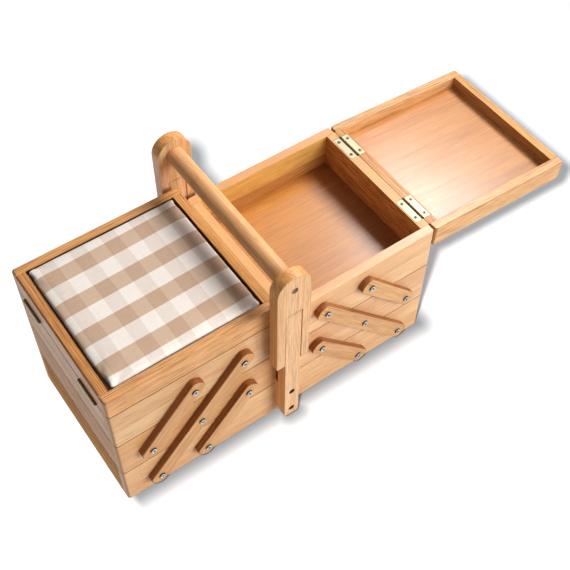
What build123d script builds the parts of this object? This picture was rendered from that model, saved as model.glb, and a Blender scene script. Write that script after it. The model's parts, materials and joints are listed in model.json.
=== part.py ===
"""Cantilever sewing box in laminated bamboo: a base, four trays on parallel links, two hinged lids
with padded tops, and a fixed carrying handle.

Millimetres, +Z up, X along the box, -Y the front. The origin is the centre of the base's underside.
The trays are closed. The left lid is closed, and the right lid is folded back beside its tray.
"""
from build123d import *
import math
import os

# ---- Driving dimensions -------------------------------------------------------------------------
# Box
box_length = 442.0          # base, outside, along X
box_depth = 210.0           # all tiers, outside, along Y
tier_height = 64.5          # base, middle and top tier, each
wall = 12.0                 # thickness of every tier wall
centre_gap = 11.2           # between the left and the right trays
seam = 0.4                  # air between one tier and the next
corner_radius = 4.0         # upright outer corners
edge_bevel = 0.8            # outer edges along the seams
# Floors
base_floor = 6.0            # base panel, flush with the undersides of its walls
tray_floor = 5.0            # tray panels, held in grooves
tray_floor_lift = 10.5      # from a tray's lower edge to its panel
groove_depth = 5.0          # how far a wall's groove takes a panel in
panel_play = 0.2            # air round a panel in its grooves
# Lids
lid_height = 30.5
lid_rail = 12.0             # width of the rails
lid_recess = 16.0           # from a lid's lower rim up to its panel
lid_panel = 5.0
lid_top_radius = 3.0        # outer edge of a lid's top
lid_open_angle = 183.5      # a lid folded right back
cushion_gap = 2.0           # between a cushion and the rails
cushion_proud = 2.5         # how far a cushion stands above its frame
cushion_round = 4.0         # cushion's upper edges
cushion_lift = 0.2          # cushion above its panel
# Links
link_width = 21.0
link_thickness = 8.5
link_end_radius = 15.5      # end arcs, about the pivots
link_edge = 1.0             # bevel of a link's outer edges
link_run = 60.0             # from one pivot to the next along X, trays closed
link_rise = 68.5            # and along Z
link_spread = 64.5          # from a long link to the short links beside it, along X
base_pivot_x = 177.5        # long link's lowest pivot
base_pivot_z = 28.8
link_gap = 0.3              # between a link and the walls
# Pivot screws
pivot_shank = 4.0           # diameter
pivot_reach = 9.0           # into a wall
pivot_head = 8.0            # diameter
pivot_head_height = 2.4
pivot_head_slope = 1.5      # the head's rim slopes in by this much
pivot_play = 0.1            # radial, between a link and a shank
wall_bite = 0.02            # radial, between a wall or post and a screw in it
pilot_spare = 0.5           # a pilot hole runs this much deeper than its screw
head_gap = 0.2              # between a pivot screw's head and the link
# Handle
spacer_thickness = 6.0      # pads that hold the posts off the base
spacer_foot = 20.0          # height of a pad's lower end
spacer_top = 76.0
post_width = 21.0
post_thickness = 15.0
post_foot = 12.0            # height of a post's lower end
post_top = 228.0            # height of the tongue's top, inside the fork
post_corner = 5.0           # lower corners
fork_width = 44.0           # also sets the arc at the top
fork_foot = 132.0
fork_play = 0.1             # glue line on each side of the tongue
fork_edge = 1.2             # bevel of a fork's edges
bar_height = 270.0          # bar's axis
bar_diameter = 22.0
# Handle screws
post_screw_low = 26.0
post_screw_high = 65.0
handle_shank = 4.0
handle_head = 8.0
handle_head_height = 2.6    # countersunk cone
handle_reach = 22.0         # under the head
post_screw_sink = 4.0       # post screws lie this deep
bar_screw_sink = 0.3
# Hinges
hinge_offset = 63.0         # from the middle of the box to a hinge's middle, along Y
leaf_length = 38.0
leaf_width = 10.0
leaf_thickness = 1.2
knuckle_diameter = 3.2
hinge_pin = 1.5
pin_play = 0.05             # radial, in the lid's knuckle
knuckle_gap = 0.3           # round a knuckle: to the next one, to the other leaf and to the wood
hinge_reach = 1.2           # from a tray's end to the hinge axis

# ---- Worked out from the above --------------------------------------------------------------------
half_length = box_length / 2
half_depth = box_depth / 2
inner_end = centre_gap / 2
rim_height = 3 * tier_height
lid_rim = rim_height + seam
lid_top = rim_height + lid_height
hinge_x = half_length + hinge_reach
hinge_z = rim_height + seam / 2
knuckle_radius = knuckle_diameter / 2
leaf_edge = hinge_x - knuckle_radius - knuckle_gap
link_face = half_depth + link_gap + link_thickness
post_inner = half_depth + spacer_thickness
post_outer = post_inner + post_thickness
link_span = math.hypot(link_run, link_rise)
post_screw_centres = [(0, post_screw_low), (0, post_screw_high)]
# How far a post screw and a bar screw go into what they hold
wall_drive = handle_head_height + handle_reach - (post_thickness - post_screw_sink) - spacer_thickness
bar_drive = handle_head_height + handle_reach - (post_thickness - bar_screw_sink)
same_place = 0.01           # places closer than this are one, where edges are picked

os.makedirs("parts", exist_ok=True)


# ---- Helpers ----------------------------------------------------------------------------------------
def block(x, y, z):
    """A box from three (low, high) pairs."""
    size = [high - low for low, high in (x, y, z)]
    middle = [(low + high) / 2 for low, high in (x, y, z)]
    return Pos(*middle) * Box(*size)


def to_left(shape):
    return mirror(shape, Plane.YZ)


def to_back(shape):
    return mirror(shape, Plane.XZ)


def group(shapes):
    return Compound(children=list(shapes))


def save(name, shape):
    export_step(shape, f"parts/{name}.step")


def outer_edges(face, inside_y):
    """The edges of a board's top or bottom face, but for the one inside the box at inside_y."""
    return [edge for edge in face.edges() if abs(edge.center().Y - inside_y) > same_place]


def front_board(x, z, thickness, finish_top):
    """A front wall or rail: full length, upright corners rounded, outer edges eased."""
    inside_y = -half_depth + thickness
    board = block(x, (-half_depth, inside_y), z)
    corners = board.edges().filter_by(Axis.Z).group_by(Axis.Y)[0]
    board = fillet(corners, corner_radius)
    board = finish_top(outer_edges(board.faces().sort_by(Axis.Z)[-1], inside_y))
    return bevel(outer_edges(board.faces().sort_by(Axis.Z)[0], inside_y))


def end_board(outside_x, inward, z, thickness, finish_top):
    """An end wall or rail, between the front and the back; inward is +1 or -1 along X."""
    inside_y = half_depth - thickness
    reach = sorted((outside_x, outside_x + inward * thickness))
    board = block(reach, (-inside_y, inside_y), z)
    board = bevel(outside_edge(board, inward, 0))
    return finish_top(outside_edge(board, inward, -1))


def outside_edge(board, inward, which):
    """The lowest (0) or highest (-1) long edge of an end board's outside face."""
    outside = board.faces().filter_by(Axis.X).sort_by(Axis.X)[0 if inward > 0 else -1]
    return outside.edges().filter_by(Axis.Y).sort_by(Axis.Z)[which]


def bevel(edges):
    return chamfer(edges, edge_bevel)


def round_over(edges):
    return fillet(edges, lid_top_radius)


def panel_space(x, z, thickness, play):
    """The room that a panel takes up inside four walls, its edges in their grooves."""
    inset = thickness - groove_depth + play
    return block((x[0] + inset, x[1] - inset), (-half_depth + inset, half_depth - inset), z)


def drill(board, centres, radius, depth):
    """Holes at (x, z) centres, running the given depth both ways from the front wall's face."""
    for x, z in centres:
        board -= Pos(x, -half_depth, z) * Rot(90, 0, 0) * Cylinder(radius, 2 * depth)
    return board


def four_walls(x, z, thickness, finish_top, panel_z):
    """Front, back and two end boards round a panel, and the panel, as a dict."""
    front = front_board(x, z, thickness, finish_top)
    low_end = end_board(x[0], 1, z, thickness, finish_top)
    high_end = end_board(x[1], -1, z, thickness, finish_top)
    groove = panel_space(x, (panel_z[0], panel_z[1]), thickness, 0)
    panel = panel_space(x, (panel_z[0], panel_z[1] - panel_play), thickness, panel_play)
    front -= groove
    return {"front": front, "back": to_back(front), "low_end": low_end - groove,
            "high_end": high_end - groove, "panel": panel}


# ---- Pivots: one list of (x, z) centres for the right side; the left side mirrors it -----------------
def pivot(step, shift=0.0):
    """Centre of a pivot: step 0 on the base, 1 on the middle tray, 2 on the top tray."""
    return (base_pivot_x + shift - step * link_run, base_pivot_z + step * link_rise)


long_pivots = [pivot(0), pivot(1), pivot(2)]
lower_pivots = [pivot(0, -link_spread), pivot(1, -link_spread)]
upper_pivots = [pivot(1, link_spread), pivot(2, link_spread)]
base_pivots = [long_pivots[0], lower_pivots[0]]
mid_pivots = [long_pivots[1], lower_pivots[1], upper_pivots[0]]
top_pivots = [long_pivots[2], upper_pivots[1]]
shank_radius = pivot_shank / 2


# ---- Base -------------------------------------------------------------------------------------------
def make_base():
    span = (-half_length, half_length)
    boards = four_walls(span, (0, tier_height), wall, bevel, (0, base_floor + panel_play))
    pivots = base_pivots + [(-x, z) for x, z in base_pivots]
    front = drill(boards["front"], pivots, shank_radius + wall_bite, pivot_reach + pilot_spare)
    front = drill(front, post_screw_centres, handle_shank / 2 + wall_bite, wall_drive + pilot_spare)
    save("base_front_wall", front)
    save("base_back_wall", to_back(front))
    save("base_end_walls", group([boards["low_end"], boards["high_end"]]))
    save("base_floor", boards["panel"])


# ---- Trays ------------------------------------------------------------------------------------------
def make_tray(tier, pivots, step):
    low = step * tier_height + seam
    span = (inner_end, half_length)
    floor = low + tray_floor_lift
    boards = four_walls(span, (low, low + tier_height - seam), wall, bevel,
                        (floor, floor + tray_floor + panel_play))
    front = drill(boards["front"], pivots, shank_radius + wall_bite, pivot_reach + pilot_spare)
    outer = boards["high_end"]
    if step == 2:
        for leaf_y in (-hinge_offset, hinge_offset):
            outer -= leaf_seat(leaf_y)
    for side, turn in (("right", lambda s: s), ("left", to_left)):
        save(f"{side}_{tier}_tray_front", turn(front))
        save(f"{side}_{tier}_tray_back", turn(to_back(front)))
        save(f"{side}_{tier}_tray_outer_end", turn(outer))
        save(f"{side}_{tier}_tray_inner_end", turn(boards["low_end"]))
        save(f"{side}_{tier}_tray_floor", turn(boards["panel"]))


# ---- Hinges -----------------------------------------------------------------------------------------
def leaf_seat(leaf_y):
    """Shallow mortise for a tray's leaf, open to the end of the tray and deeper under the knuckles."""
    reach = leaf_length / 2 + panel_play / 2
    y = (leaf_y - reach, leaf_y + reach)
    seat = block((half_length - leaf_width, half_length + wall), y,
                 (rim_height - leaf_thickness, rim_height + lid_height))
    return seat + block((leaf_edge, half_length + wall), y,
                        (hinge_z - knuckle_radius - knuckle_gap, rim_height + lid_height))


def leaf_blank(leaf_y, knuckles, bore_radius):
    """A tray's leaf: a plate with round knuckles at the given (low, high) stretches along Y."""
    plate_z = (rim_height - leaf_thickness, rim_height)
    leaf = block((half_length - leaf_width, leaf_edge),
                 (leaf_y - leaf_length / 2, leaf_y + leaf_length / 2), plate_z)
    for low, high in knuckles:
        y = (leaf_y + low, leaf_y + high)
        middle = sum(y) / 2
        barrel = Pos(hinge_x, middle, hinge_z) * Rot(90, 0, 0) * Cylinder(knuckle_radius, high - low)
        leaf += block((leaf_edge, hinge_x), y, plate_z) + barrel
    return leaf - Pos(hinge_x, leaf_y, hinge_z) * Rot(90, 0, 0) * Cylinder(bore_radius, leaf_length * 2)


def make_hinges():
    half = leaf_length / 2
    split = half / 3            # the lid's knuckle is the middle third
    tray_knuckles = [(-half, -split - knuckle_gap / 2), (split + knuckle_gap / 2, half)]
    lid_knuckles = [(-split + knuckle_gap / 2, split - knuckle_gap / 2)]
    centres = (-hinge_offset, hinge_offset)
    pin_radius = hinge_pin / 2
    tray_leaves = group(leaf_blank(y, tray_knuckles, pin_radius) for y in centres)
    lid_leaves = group(over_to_lid(leaf_blank(y, lid_knuckles, pin_radius + pin_play)) for y in centres)
    pins = group(Pos(hinge_x, y, hinge_z) * Rot(90, 0, 0) * Cylinder(pin_radius, leaf_length)
                 for y in centres)
    save("right_hinge_tray_leaves", tray_leaves)
    save("left_hinge_tray_leaves", to_left(tray_leaves))
    save("right_hinge_pins", pins)
    save("left_hinge_pins", to_left(pins))
    save("right_hinge_lid_leaves", fold_back(lid_leaves))
    save("left_hinge_lid_leaves", to_left(lid_leaves))


def over_to_lid(shape):
    """From a tray's rim to the rim of its closed lid: a mirror in the middle of the seam."""
    return mirror(shape, Plane.XY.offset(hinge_z))


# ---- Lids -------------------------------------------------------------------------------------------
def fold_back(shape):
    """Turns a part of the right lid from closed to folded back, about its hinges."""
    return shape.rotate(Axis((hinge_x, 0, hinge_z), (0, 1, 0)), lid_open_angle)


def make_cushion(span, low):
    """A pad in the top of a lid, with eased upper edges."""
    inset = lid_rail + cushion_gap
    pad = block((span[0] + inset, span[1] - inset), (-half_depth + inset, half_depth - inset),
                (low, lid_top + cushion_proud))
    return fillet(pad.faces().sort_by(Axis.Z)[-1].edges(), cushion_round)


def make_lids():
    span = (inner_end, half_length)
    panel_low = lid_rim + lid_recess
    boards = four_walls(span, (lid_rim, lid_top), lid_rail, round_over,
                        (panel_low, panel_low + lid_panel + panel_play))
    hinge_rail = boards["high_end"]
    for leaf_y in (-hinge_offset, hinge_offset):
        hinge_rail -= over_to_lid(leaf_seat(leaf_y))
    pieces = {"front_rail": boards["front"], "back_rail": boards["back"], "hinge_rail": hinge_rail,
              "free_rail": boards["low_end"], "panel": boards["panel"],
              "cushion": make_cushion(span, panel_low + lid_panel + cushion_lift)}
    for name, shape in pieces.items():
        save(f"right_lid_{name}", fold_back(shape))
        save(f"left_lid_{name}", to_left(shape))


# ---- Links ------------------------------------------------------------------------------------------
def make_link(pivots):
    """A bar with arcs about its end pivots and a hole at each, on the front of the right side."""
    (x0, z0), (x1, z1) = pivots[0], pivots[-1]
    length = math.hypot(x1 - x0, z1 - z0)
    plane = Plane(origin=(x0, -half_depth - link_gap, z0), x_dir=(x1 - x0, 0, z1 - z0), z_dir=(0, -1, 0))
    middle = Pos(length / 2, 0)
    ends = Circle(link_end_radius) + Pos(length, 0) * Circle(link_end_radius)
    outline = (ends + middle * Rectangle(length, link_width)) \
        & middle * Rectangle(length + 2 * link_end_radius, link_width)
    for index in range(len(pivots)):
        outline -= Pos(index * link_span, 0) * Circle(shank_radius + pivot_play)
    link = extrude(plane * outline, link_thickness)
    face = link.faces().filter_by(Axis.Y).sort_by(Axis.Y)[0]
    return chamfer(face.outer_wire().edges(), link_edge)


def make_links():
    for name, pivots in (("long", long_pivots), ("lower", lower_pivots), ("upper", upper_pivots)):
        link = make_link(pivots)
        pair = group([link, to_back(link)])
        save(f"right_{name}_links", pair)
        save(f"left_{name}_links", to_left(pair))


def pivot_screw():
    """Pan-head screw along -Z, with the underside of its head at the origin."""
    shank_length = link_thickness + link_gap + head_gap + pivot_reach
    shank = Pos(0, 0, -shank_length / 2) * Cylinder(shank_radius, shank_length)
    head = Pos(0, 0, pivot_head_height / 2) * Cylinder(pivot_head / 2, pivot_head_height)
    slope = min(pivot_head_slope, pivot_head_height / 2)
    return chamfer(head.edges().sort_by(Axis.Z)[-1], slope) + shank


def make_pivot_screws():
    screw = pivot_screw()

    def row(pivots):
        seats = [Plane(origin=(x, -link_face - head_gap, z), x_dir=(1, 0, 0), z_dir=(0, -1, 0))
                 for x, z in pivots]
        front = [seat.location * screw for seat in seats]
        return front + [to_back(s) for s in front]

    base = row(base_pivots)
    save("base_pivot_screws", group(base + [to_left(s) for s in base]))
    for tier, pivots in (("mid", mid_pivots), ("top", top_pivots)):
        screws = group(row(pivots))
        save(f"right_{tier}_tray_pivot_screws", screws)
        save(f"left_{tier}_tray_pivot_screws", to_left(screws))


# ---- Handle -----------------------------------------------------------------------------------------
def screw_hole(height, sink):
    """Room for a countersunk screw driven in from the front, its head sunk below the surface."""
    plane = Plane(origin=(0, -post_outer + sink, height), x_dir=(1, 0, 0), z_dir=(0, -1, 0))
    head = handle_head / 2 + wall_bite
    bore = Pos(0, 0, -box_depth / 4) * Cylinder(handle_shank / 2 + wall_bite, box_depth / 2)
    cone = Pos(0, 0, -handle_head_height / 2) * Cone(handle_shank / 2 + wall_bite, head, handle_head_height)
    well = Pos(0, 0, post_thickness / 2) * Cylinder(head, post_thickness)
    return plane.location * (bore + cone + well)


def handle_screw(height, sink):
    """Countersunk screw in a front upright."""
    plane = Plane(origin=(0, -post_outer + sink, height), x_dir=(1, 0, 0), z_dir=(0, -1, 0))
    cone = Pos(0, 0, -handle_head_height / 2) * Cone(handle_shank / 2, handle_head / 2, handle_head_height)
    shank = Pos(0, 0, -handle_head_height - handle_reach / 2) * Cylinder(handle_shank / 2, handle_reach)
    return plane.location * (cone + shank)


def make_post():
    """Lower upright, which ends in the tongue that the fork holds."""
    post = block((-post_width / 2, post_width / 2), (-post_outer, -post_inner), (post_foot, post_top))
    feet = post.edges().filter_by(Axis.Y).group_by(Axis.Z)[0]
    post = fillet(feet, post_corner)
    return post - screw_hole(post_screw_low, post_screw_sink) - screw_hole(post_screw_high, post_screw_sink)


def make_fork():
    """Upper upright: a wide board with an arc over the bar, slotted from below for the tongue."""
    radius = fork_width / 2
    plane = Plane(origin=(0, -post_inner, 0), x_dir=(1, 0, 0), z_dir=(0, -1, 0))
    outline = Pos(0, (fork_foot + bar_height) / 2) * Rectangle(fork_width, bar_height - fork_foot) \
        + Pos(0, bar_height) * Circle(radius)
    slot = post_width + 2 * fork_play
    slot_top = post_top + fork_play
    outline -= Pos(0, (fork_foot + slot_top) / 2) * Rectangle(slot, slot_top - fork_foot)
    fork = extrude(plane * outline, post_thickness)
    sides = fork.faces().filter_by(Axis.Y).sort_by(Axis.Y)
    rims = [edge for face in (sides[0], sides[-1]) for edge in face.edges()
            if abs(edge.center().X) > slot / 2 + same_place or edge.center().Z > slot_top + same_place]
    fork = chamfer(rims, fork_edge)
    return fork - screw_hole(bar_height, bar_screw_sink)


def make_handle():
    post = make_post()
    fork = make_fork()
    spacer = block((-post_width / 2, post_width / 2), (-post_inner, -half_depth), (spacer_foot, spacer_top))
    spacer = drill(spacer, post_screw_centres, handle_shank / 2 + wall_bite, spacer_thickness)
    bar = Pos(0, 0, bar_height) * Rot(90, 0, 0) * Cylinder(bar_diameter / 2, 2 * post_inner)
    bar = drill_bar_ends(bar)
    screws = [handle_screw(post_screw_low, post_screw_sink), handle_screw(post_screw_high, post_screw_sink),
              handle_screw(bar_height, bar_screw_sink)]
    save("handle_front_post", post)
    save("handle_back_post", to_back(post))
    save("handle_front_fork", fork)
    save("handle_back_fork", to_back(fork))
    save("handle_spacers", group([spacer, to_back(spacer)]))
    save("handle_bar", bar)
    save("handle_screws", group(screws + [to_back(s) for s in screws]))


def drill_bar_ends(bar):
    """Pilot holes for the screws that hold the bar between the forks."""
    depth = bar_drive + pilot_spare
    pilot = Pos(0, -post_inner + depth / 2, bar_height) * Rot(90, 0, 0) \
        * Cylinder(handle_shank / 2 + wall_bite, depth)
    return bar - pilot - to_back(pilot)


make_base()
make_tray("mid", mid_pivots, 1)
make_tray("top", top_pivots, 2)
make_hinges()
make_lids()
make_links()
make_pivot_screws()
make_handle()
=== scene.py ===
import json
import logging
import math
from dataclasses import dataclass, replace
from enum import Enum
from typing import ClassVar, Iterable, Sequence

import bmesh
import bpy
import numpy as np
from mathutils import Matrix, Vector

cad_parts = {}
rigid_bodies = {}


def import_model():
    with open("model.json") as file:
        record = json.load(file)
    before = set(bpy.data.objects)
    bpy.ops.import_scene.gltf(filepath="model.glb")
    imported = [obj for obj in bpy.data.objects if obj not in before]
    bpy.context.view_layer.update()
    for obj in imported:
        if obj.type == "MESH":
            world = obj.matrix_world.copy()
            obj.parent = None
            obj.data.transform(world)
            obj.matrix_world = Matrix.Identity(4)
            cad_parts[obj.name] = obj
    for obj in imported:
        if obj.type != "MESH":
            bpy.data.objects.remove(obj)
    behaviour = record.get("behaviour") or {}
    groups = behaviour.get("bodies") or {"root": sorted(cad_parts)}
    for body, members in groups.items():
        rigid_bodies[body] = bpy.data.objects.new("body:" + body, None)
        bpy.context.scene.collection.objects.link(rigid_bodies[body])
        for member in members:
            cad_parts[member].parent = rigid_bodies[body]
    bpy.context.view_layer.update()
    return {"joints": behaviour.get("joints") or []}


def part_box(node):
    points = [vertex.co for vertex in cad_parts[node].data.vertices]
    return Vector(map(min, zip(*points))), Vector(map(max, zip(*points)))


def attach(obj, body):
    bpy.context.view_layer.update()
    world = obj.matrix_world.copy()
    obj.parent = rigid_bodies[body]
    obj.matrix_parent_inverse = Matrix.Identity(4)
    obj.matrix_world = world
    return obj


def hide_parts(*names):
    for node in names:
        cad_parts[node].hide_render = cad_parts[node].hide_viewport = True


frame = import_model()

JOINTS = {joint["name"]: joint for joint in frame["joints"]}
LOG = logging.getLogger("sewing_box")

# Words for the types that are used throughout. Lengths are in metres, and angles are in radians
# unless a comment says degrees.
Point = Sequence[float]
Colour = tuple[float, float, float]
WHITE = (1.0, 1.0, 1.0)


# ---- Shader graphs ----
class Wire:
    """A node's output in a shader expression. Operators on it add Math nodes."""

    def __init__(self, graph: "Graph", socket: bpy.types.NodeSocket) -> None:
        """Keeps the graph that the socket belongs to."""
        self.graph = graph
        self.socket = socket

    def math(self, operation: str, *others: "Wire | float") -> "Wire":
        """The result of a Math node's operation on this wire and any further values."""
        return self.graph.add("ShaderNodeMath", {"operation": operation}, dict(enumerate((self, *others))))

    def __add__(self, other: "Wire | float") -> "Wire":
        """Sum."""
        return self.math("ADD", other)

    def __radd__(self, other: float) -> "Wire":
        """Sum with a number on the left."""
        return self.math("ADD", other)

    def __sub__(self, other: "Wire | float") -> "Wire":
        """Difference."""
        return self.math("SUBTRACT", other)

    def __rsub__(self, other: float) -> "Wire":
        """A number less this wire."""
        return self.graph.add("ShaderNodeMath", {"operation": "SUBTRACT"}, {0: other, 1: self})

    def __mul__(self, other: "Wire | float") -> "Wire":
        """Product."""
        return self.math("MULTIPLY", other)

    def __rmul__(self, other: float) -> "Wire":
        """Product with a number on the left."""
        return self.math("MULTIPLY", other)

    def __truediv__(self, other: "Wire | float") -> "Wire":
        """Quotient."""
        return self.math("DIVIDE", other)

    def floor(self) -> "Wire":
        """Whole part."""
        return self.math("FLOOR")

    def fraction(self) -> "Wire":
        """What is left above the whole part."""
        return self.math("FRACT")

    def size(self) -> "Wire":
        """Value without its sign."""
        return self.math("ABSOLUTE")

    def least(self, other: "Wire | float") -> "Wire":
        """The smaller of two values."""
        return self.math("MINIMUM", other)

    def most(self, other: "Wire | float") -> "Wire":
        """The larger of two values."""
        return self.math("MAXIMUM", other)

    def rise(self, low: float, high: float) -> "Wire":
        """A smooth step from 0 at low to 1 at high."""
        return self.graph.add("ShaderNodeMapRange", {"interpolation_type": "SMOOTHSTEP"},
                              {0: self, 1: low, 2: high, 3: 0.0, 4: 1.0})

    def past(self, limit: float, blur: float) -> "Wire":
        """0 below a limit and 1 above it, blurred to either side."""
        return self.rise(limit - blur, limit + blur)


class Graph:
    """The nodes of a material, a world or a lamp."""

    def __init__(self, owner: bpy.types.ID, output: str = "ShaderNodeOutputMaterial") -> None:
        """Clears the owner's nodes and adds its output node.

        Args:
            owner: the material, world or lamp.
            output: its output node's type.
        """
        owner.use_nodes = True
        self.owner = owner
        self.tree = owner.node_tree
        self.tree.nodes.clear()
        self.output = self.node(output)

    @classmethod
    def material(cls, name: str) -> "Graph":
        """The nodes of a new material."""
        return cls(bpy.data.materials.new(name))

    def node(self, kind: str, settings: dict | None = None, inputs: dict | None = None) -> bpy.types.Node:
        """Adds a node: first its settings, then its sockets.

        Args:
            kind: the node's type.
            settings: its properties; "stops" fills a colour ramp with (place, colour) pairs.
            inputs: socket name or number to a wire or a value.

        Returns:
            The node.
        """
        made = self.tree.nodes.new(kind)
        for key, value in (settings or {}).items():
            if key == "stops":
                elements = made.color_ramp.elements
                while len(elements) < len(value):
                    elements.new(1.0)
                for element, (place, colour) in zip(elements, value):
                    element.position = place
                    element.color = (*colour, 1.0)
            else:
                setattr(made, key, value)
        for key, value in (inputs or {}).items():
            if isinstance(value, Wire):
                self.tree.links.new(value.socket, made.inputs[key])
            elif isinstance(made.inputs[key].default_value, float):
                made.inputs[key].default_value = value
            else:
                width = len(made.inputs[key].default_value)
                made.inputs[key].default_value = (*value, 1.0)[:width]
        return made

    def add(self, kind: str, settings: dict | None = None, inputs: dict | None = None,
            output: int | str = 0) -> Wire:
        """Adds a node with its settings and inputs, and gives one of its outputs as a wire."""
        return Wire(self, self.node(kind, settings, inputs).outputs[output])

    def mix(self, share: Wire | float, first: Wire | Colour, second: Wire | Colour,
            blend: str = "MIX") -> Wire:
        """Mixes two colours, blended in a named way: a share of 0 gives the first, 1 the second."""
        return self.add("ShaderNodeMix", {"data_type": "RGBA", "blend_type": blend, "clamp_factor": True},
                        {0: share, 6: first, 7: second}, 2)

    def join(self, x: Wire | float, y: Wire | float, z: Wire | float) -> Wire:
        """A vector from three values."""
        return self.add("ShaderNodeCombineXYZ", None, {0: x, 1: y, 2: z})

    def split(self, vector: Wire) -> tuple[Wire, Wire, Wire]:
        """A vector's three values."""
        made = self.node("ShaderNodeSeparateXYZ", None, {0: vector})
        return tuple(Wire(self, value) for value in made.outputs)

    def noise(self, place: Wire, detail: float = 2.0, roughness: float = 0.5, scale: float = 1.0) -> Wire:
        """Smooth noise about 0.5 at a place that is already scaled."""
        return self.add("ShaderNodeTexNoise", {"noise_dimensions": "3D"},
                        {"Vector": place, "Scale": scale, "Detail": detail, "Roughness": roughness})

    def chance(self, key: Wire) -> tuple[Wire, tuple[Wire, Wire, Wire]]:
        """One random value and three more that stay the same while the key of whole numbers does."""
        made = self.node("ShaderNodeTexWhiteNoise", {"noise_dimensions": "3D"}, {"Vector": key})
        return Wire(self, made.outputs["Value"]), self.split(Wire(self, made.outputs["Color"]))

    def bump(self, height: Wire, distance: float, strength: float = 1.0) -> Wire:
        """A normal from a height between 0 and 1 that stands for a distance."""
        return self.add("ShaderNodeBump", None,
                        {"Strength": strength, "Distance": distance, "Height": height})

    def seen(self) -> Wire:
        """1 for rays that show a surface, directly, mirrored or through glass, and 0 for the rest.

        Returns:
            The wire.
        """
        path = self.node("ShaderNodeLightPath")
        camera, glossy, through = (Wire(self, path.outputs[f"Is {kind} Ray"])
                                   for kind in ("Camera", "Glossy", "Transmission"))
        return camera.most(glossy).most(through)

    def end(self, shader: Wire) -> None:
        """Ends the graph in a shader."""
        self.tree.links.new(shader.socket, self.output.inputs[0])

    def close(self, **inputs: Wire | float | Colour) -> bpy.types.Material:
        """Ends the graph in one Principled surface.

        Args:
            inputs: its sockets, with _ for a space.

        Returns:
            The material.
        """
        named = {name.replace("_", " "): value for name, value in inputs.items()}
        self.end(self.add("ShaderNodeBsdfPrincipled", None, named))
        return self.owner


# ---- Finishes ----
class Axis(Enum):
    """A direction of the box."""

    X = 0
    Y = 1
    Z = 2


class Slot(Enum):
    """A material of the record."""

    BAMBOO = "bamboo"
    CLOTH = "gingham_fabric"
    STEEL = "steel"
    BRASS = "brass"


@dataclass(frozen=True)
class Turn:
    """A turn about an axis along Y, through a point, that a piece was made with."""

    angle: float = 0.0
    centre: tuple[float, float, float] = (0.0, 0.0, 0.0)


@dataclass(frozen=True)
class Tint:
    """A tone that a wall's strips take below a height."""

    height: float
    colour: Colour


@dataclass(frozen=True)
class WallShadow:
    """A painted shadow that grows along X from a start to its full share."""

    start: float
    full: float
    share: float


@dataclass(frozen=True)
class WellShade:
    """Painted shade on the faces that look in at a middle, between two heights."""

    x: float
    y: float
    low: float
    high: float
    share: float


@dataclass(frozen=True)
class Bore:
    """Painted shade in the holes along a board's middle line, up to a place along its grain."""

    half: float
    top: float


@dataclass(frozen=True)
class Bamboo:
    """Varnished bamboo board, glued up from strips."""

    slot: ClassVar[Slot] = Slot.BAMBOO
    name: str
    grain: Axis
    across: Axis                      # strips lie side by side along this
    strip: float = 0.02               # width of a strip
    start: float = 0.0                # where a strip's edge lies
    light: Colour = (0.76, 0.425, 0.165)
    deep: Colour = (0.59, 0.275, 0.078)
    rosy: Colour = (0.70, 0.35, 0.175)
    dark: Colour = (0.27, 0.095, 0.024)
    edge: Colour | None = None        # tone of cut edges, if they differ
    # top_light_tone: painted light, a tone for faces that look up, for how they catch the light
    top_light_tone: Colour | None = None       # tone of faces that look up, if they differ
    lower: Tint | None = None
    wall_shadow: WallShadow | None = None
    well: WellShade | None = None
    bore: Bore | None = None
    rim: float = 0.25                 # darkening of rounded rims
    # seam and brow: painted shade on rims that look down or up into a seam
    seam: float = 0.9                 # darkening of rims that look down into a seam
    brow: float = 0.0                 # darkening of rims that look up into a seam
    contrast: float = 1.0             # how much strips differ
    figure: float = 1.0               # strength of the fibres
    streaks: float = 1.3              # strength of the broad streaks
    hair: float = 0.3                 # strength of the finest fibres
    glue: float = 0.45                # darkness of the glue lines
    nodes: float = 0.6                # strength of the cane's rings
    ring_gap: float = 0.31            # from one ring to the next along a strip
    roughness: float = 0.34
    gloss: float = 0.22               # how much the varnish mirrors
    turn: Turn = Turn()

    def coordinates(self, graph: Graph) -> tuple[tuple[Wire, ...], tuple[Wire, ...]]:
        """Finds where a point was on the board when it was glued up, before any turn.

        Args:
            graph: the material's nodes.

        Returns:
            The place's and the normal's three values.
        """
        source = graph.node("ShaderNodeTexCoord")
        place = Wire(graph, source.outputs["Object"])
        normal = Wire(graph, source.outputs["Normal"])
        if self.turn.angle:
            back = -self.turn.angle
            cx, _, cz = self.turn.centre
            moved = (cx - (math.cos(back) * cx + math.sin(back) * cz), 0.0,
                     cz - (-math.sin(back) * cx + math.cos(back) * cz))
            place = graph.add("ShaderNodeMapping", {"vector_type": "POINT"},
                              {"Vector": place, "Rotation": (0.0, back, 0.0), "Location": moved})
            normal = graph.add("ShaderNodeMapping", {"vector_type": "NORMAL"},
                               {"Vector": normal, "Rotation": (0.0, back, 0.0)})
        return graph.split(place), graph.split(normal)

    def build(self) -> bpy.types.Material:
        """Builds the material: the strips' own tones, then one layer of paint over another.

        Returns:
            The material.
        """
        paint = BoardPaint(self)
        paint.tints()
        paint.fibres()
        rings = paint.rings()
        glue = paint.glue_lines()
        paint.rims()
        paint.faces()
        end = paint.cut_ends()
        paint.cut_edges()
        height = paint.fine * 0.3 + paint.fibre * 0.5 - rings * 0.4 - glue * 0.8
        rough = paint.streak * 0.12 + paint.fibre * 0.08 + (self.roughness - 0.1) + end * 0.12
        return paint.graph.close(Base_Color=paint.colour, Roughness=rough, Specular_IOR_Level=self.gloss,
                                 Normal=paint.graph.bump(height, BoardPaint.grain_depth, 0.5))


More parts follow.
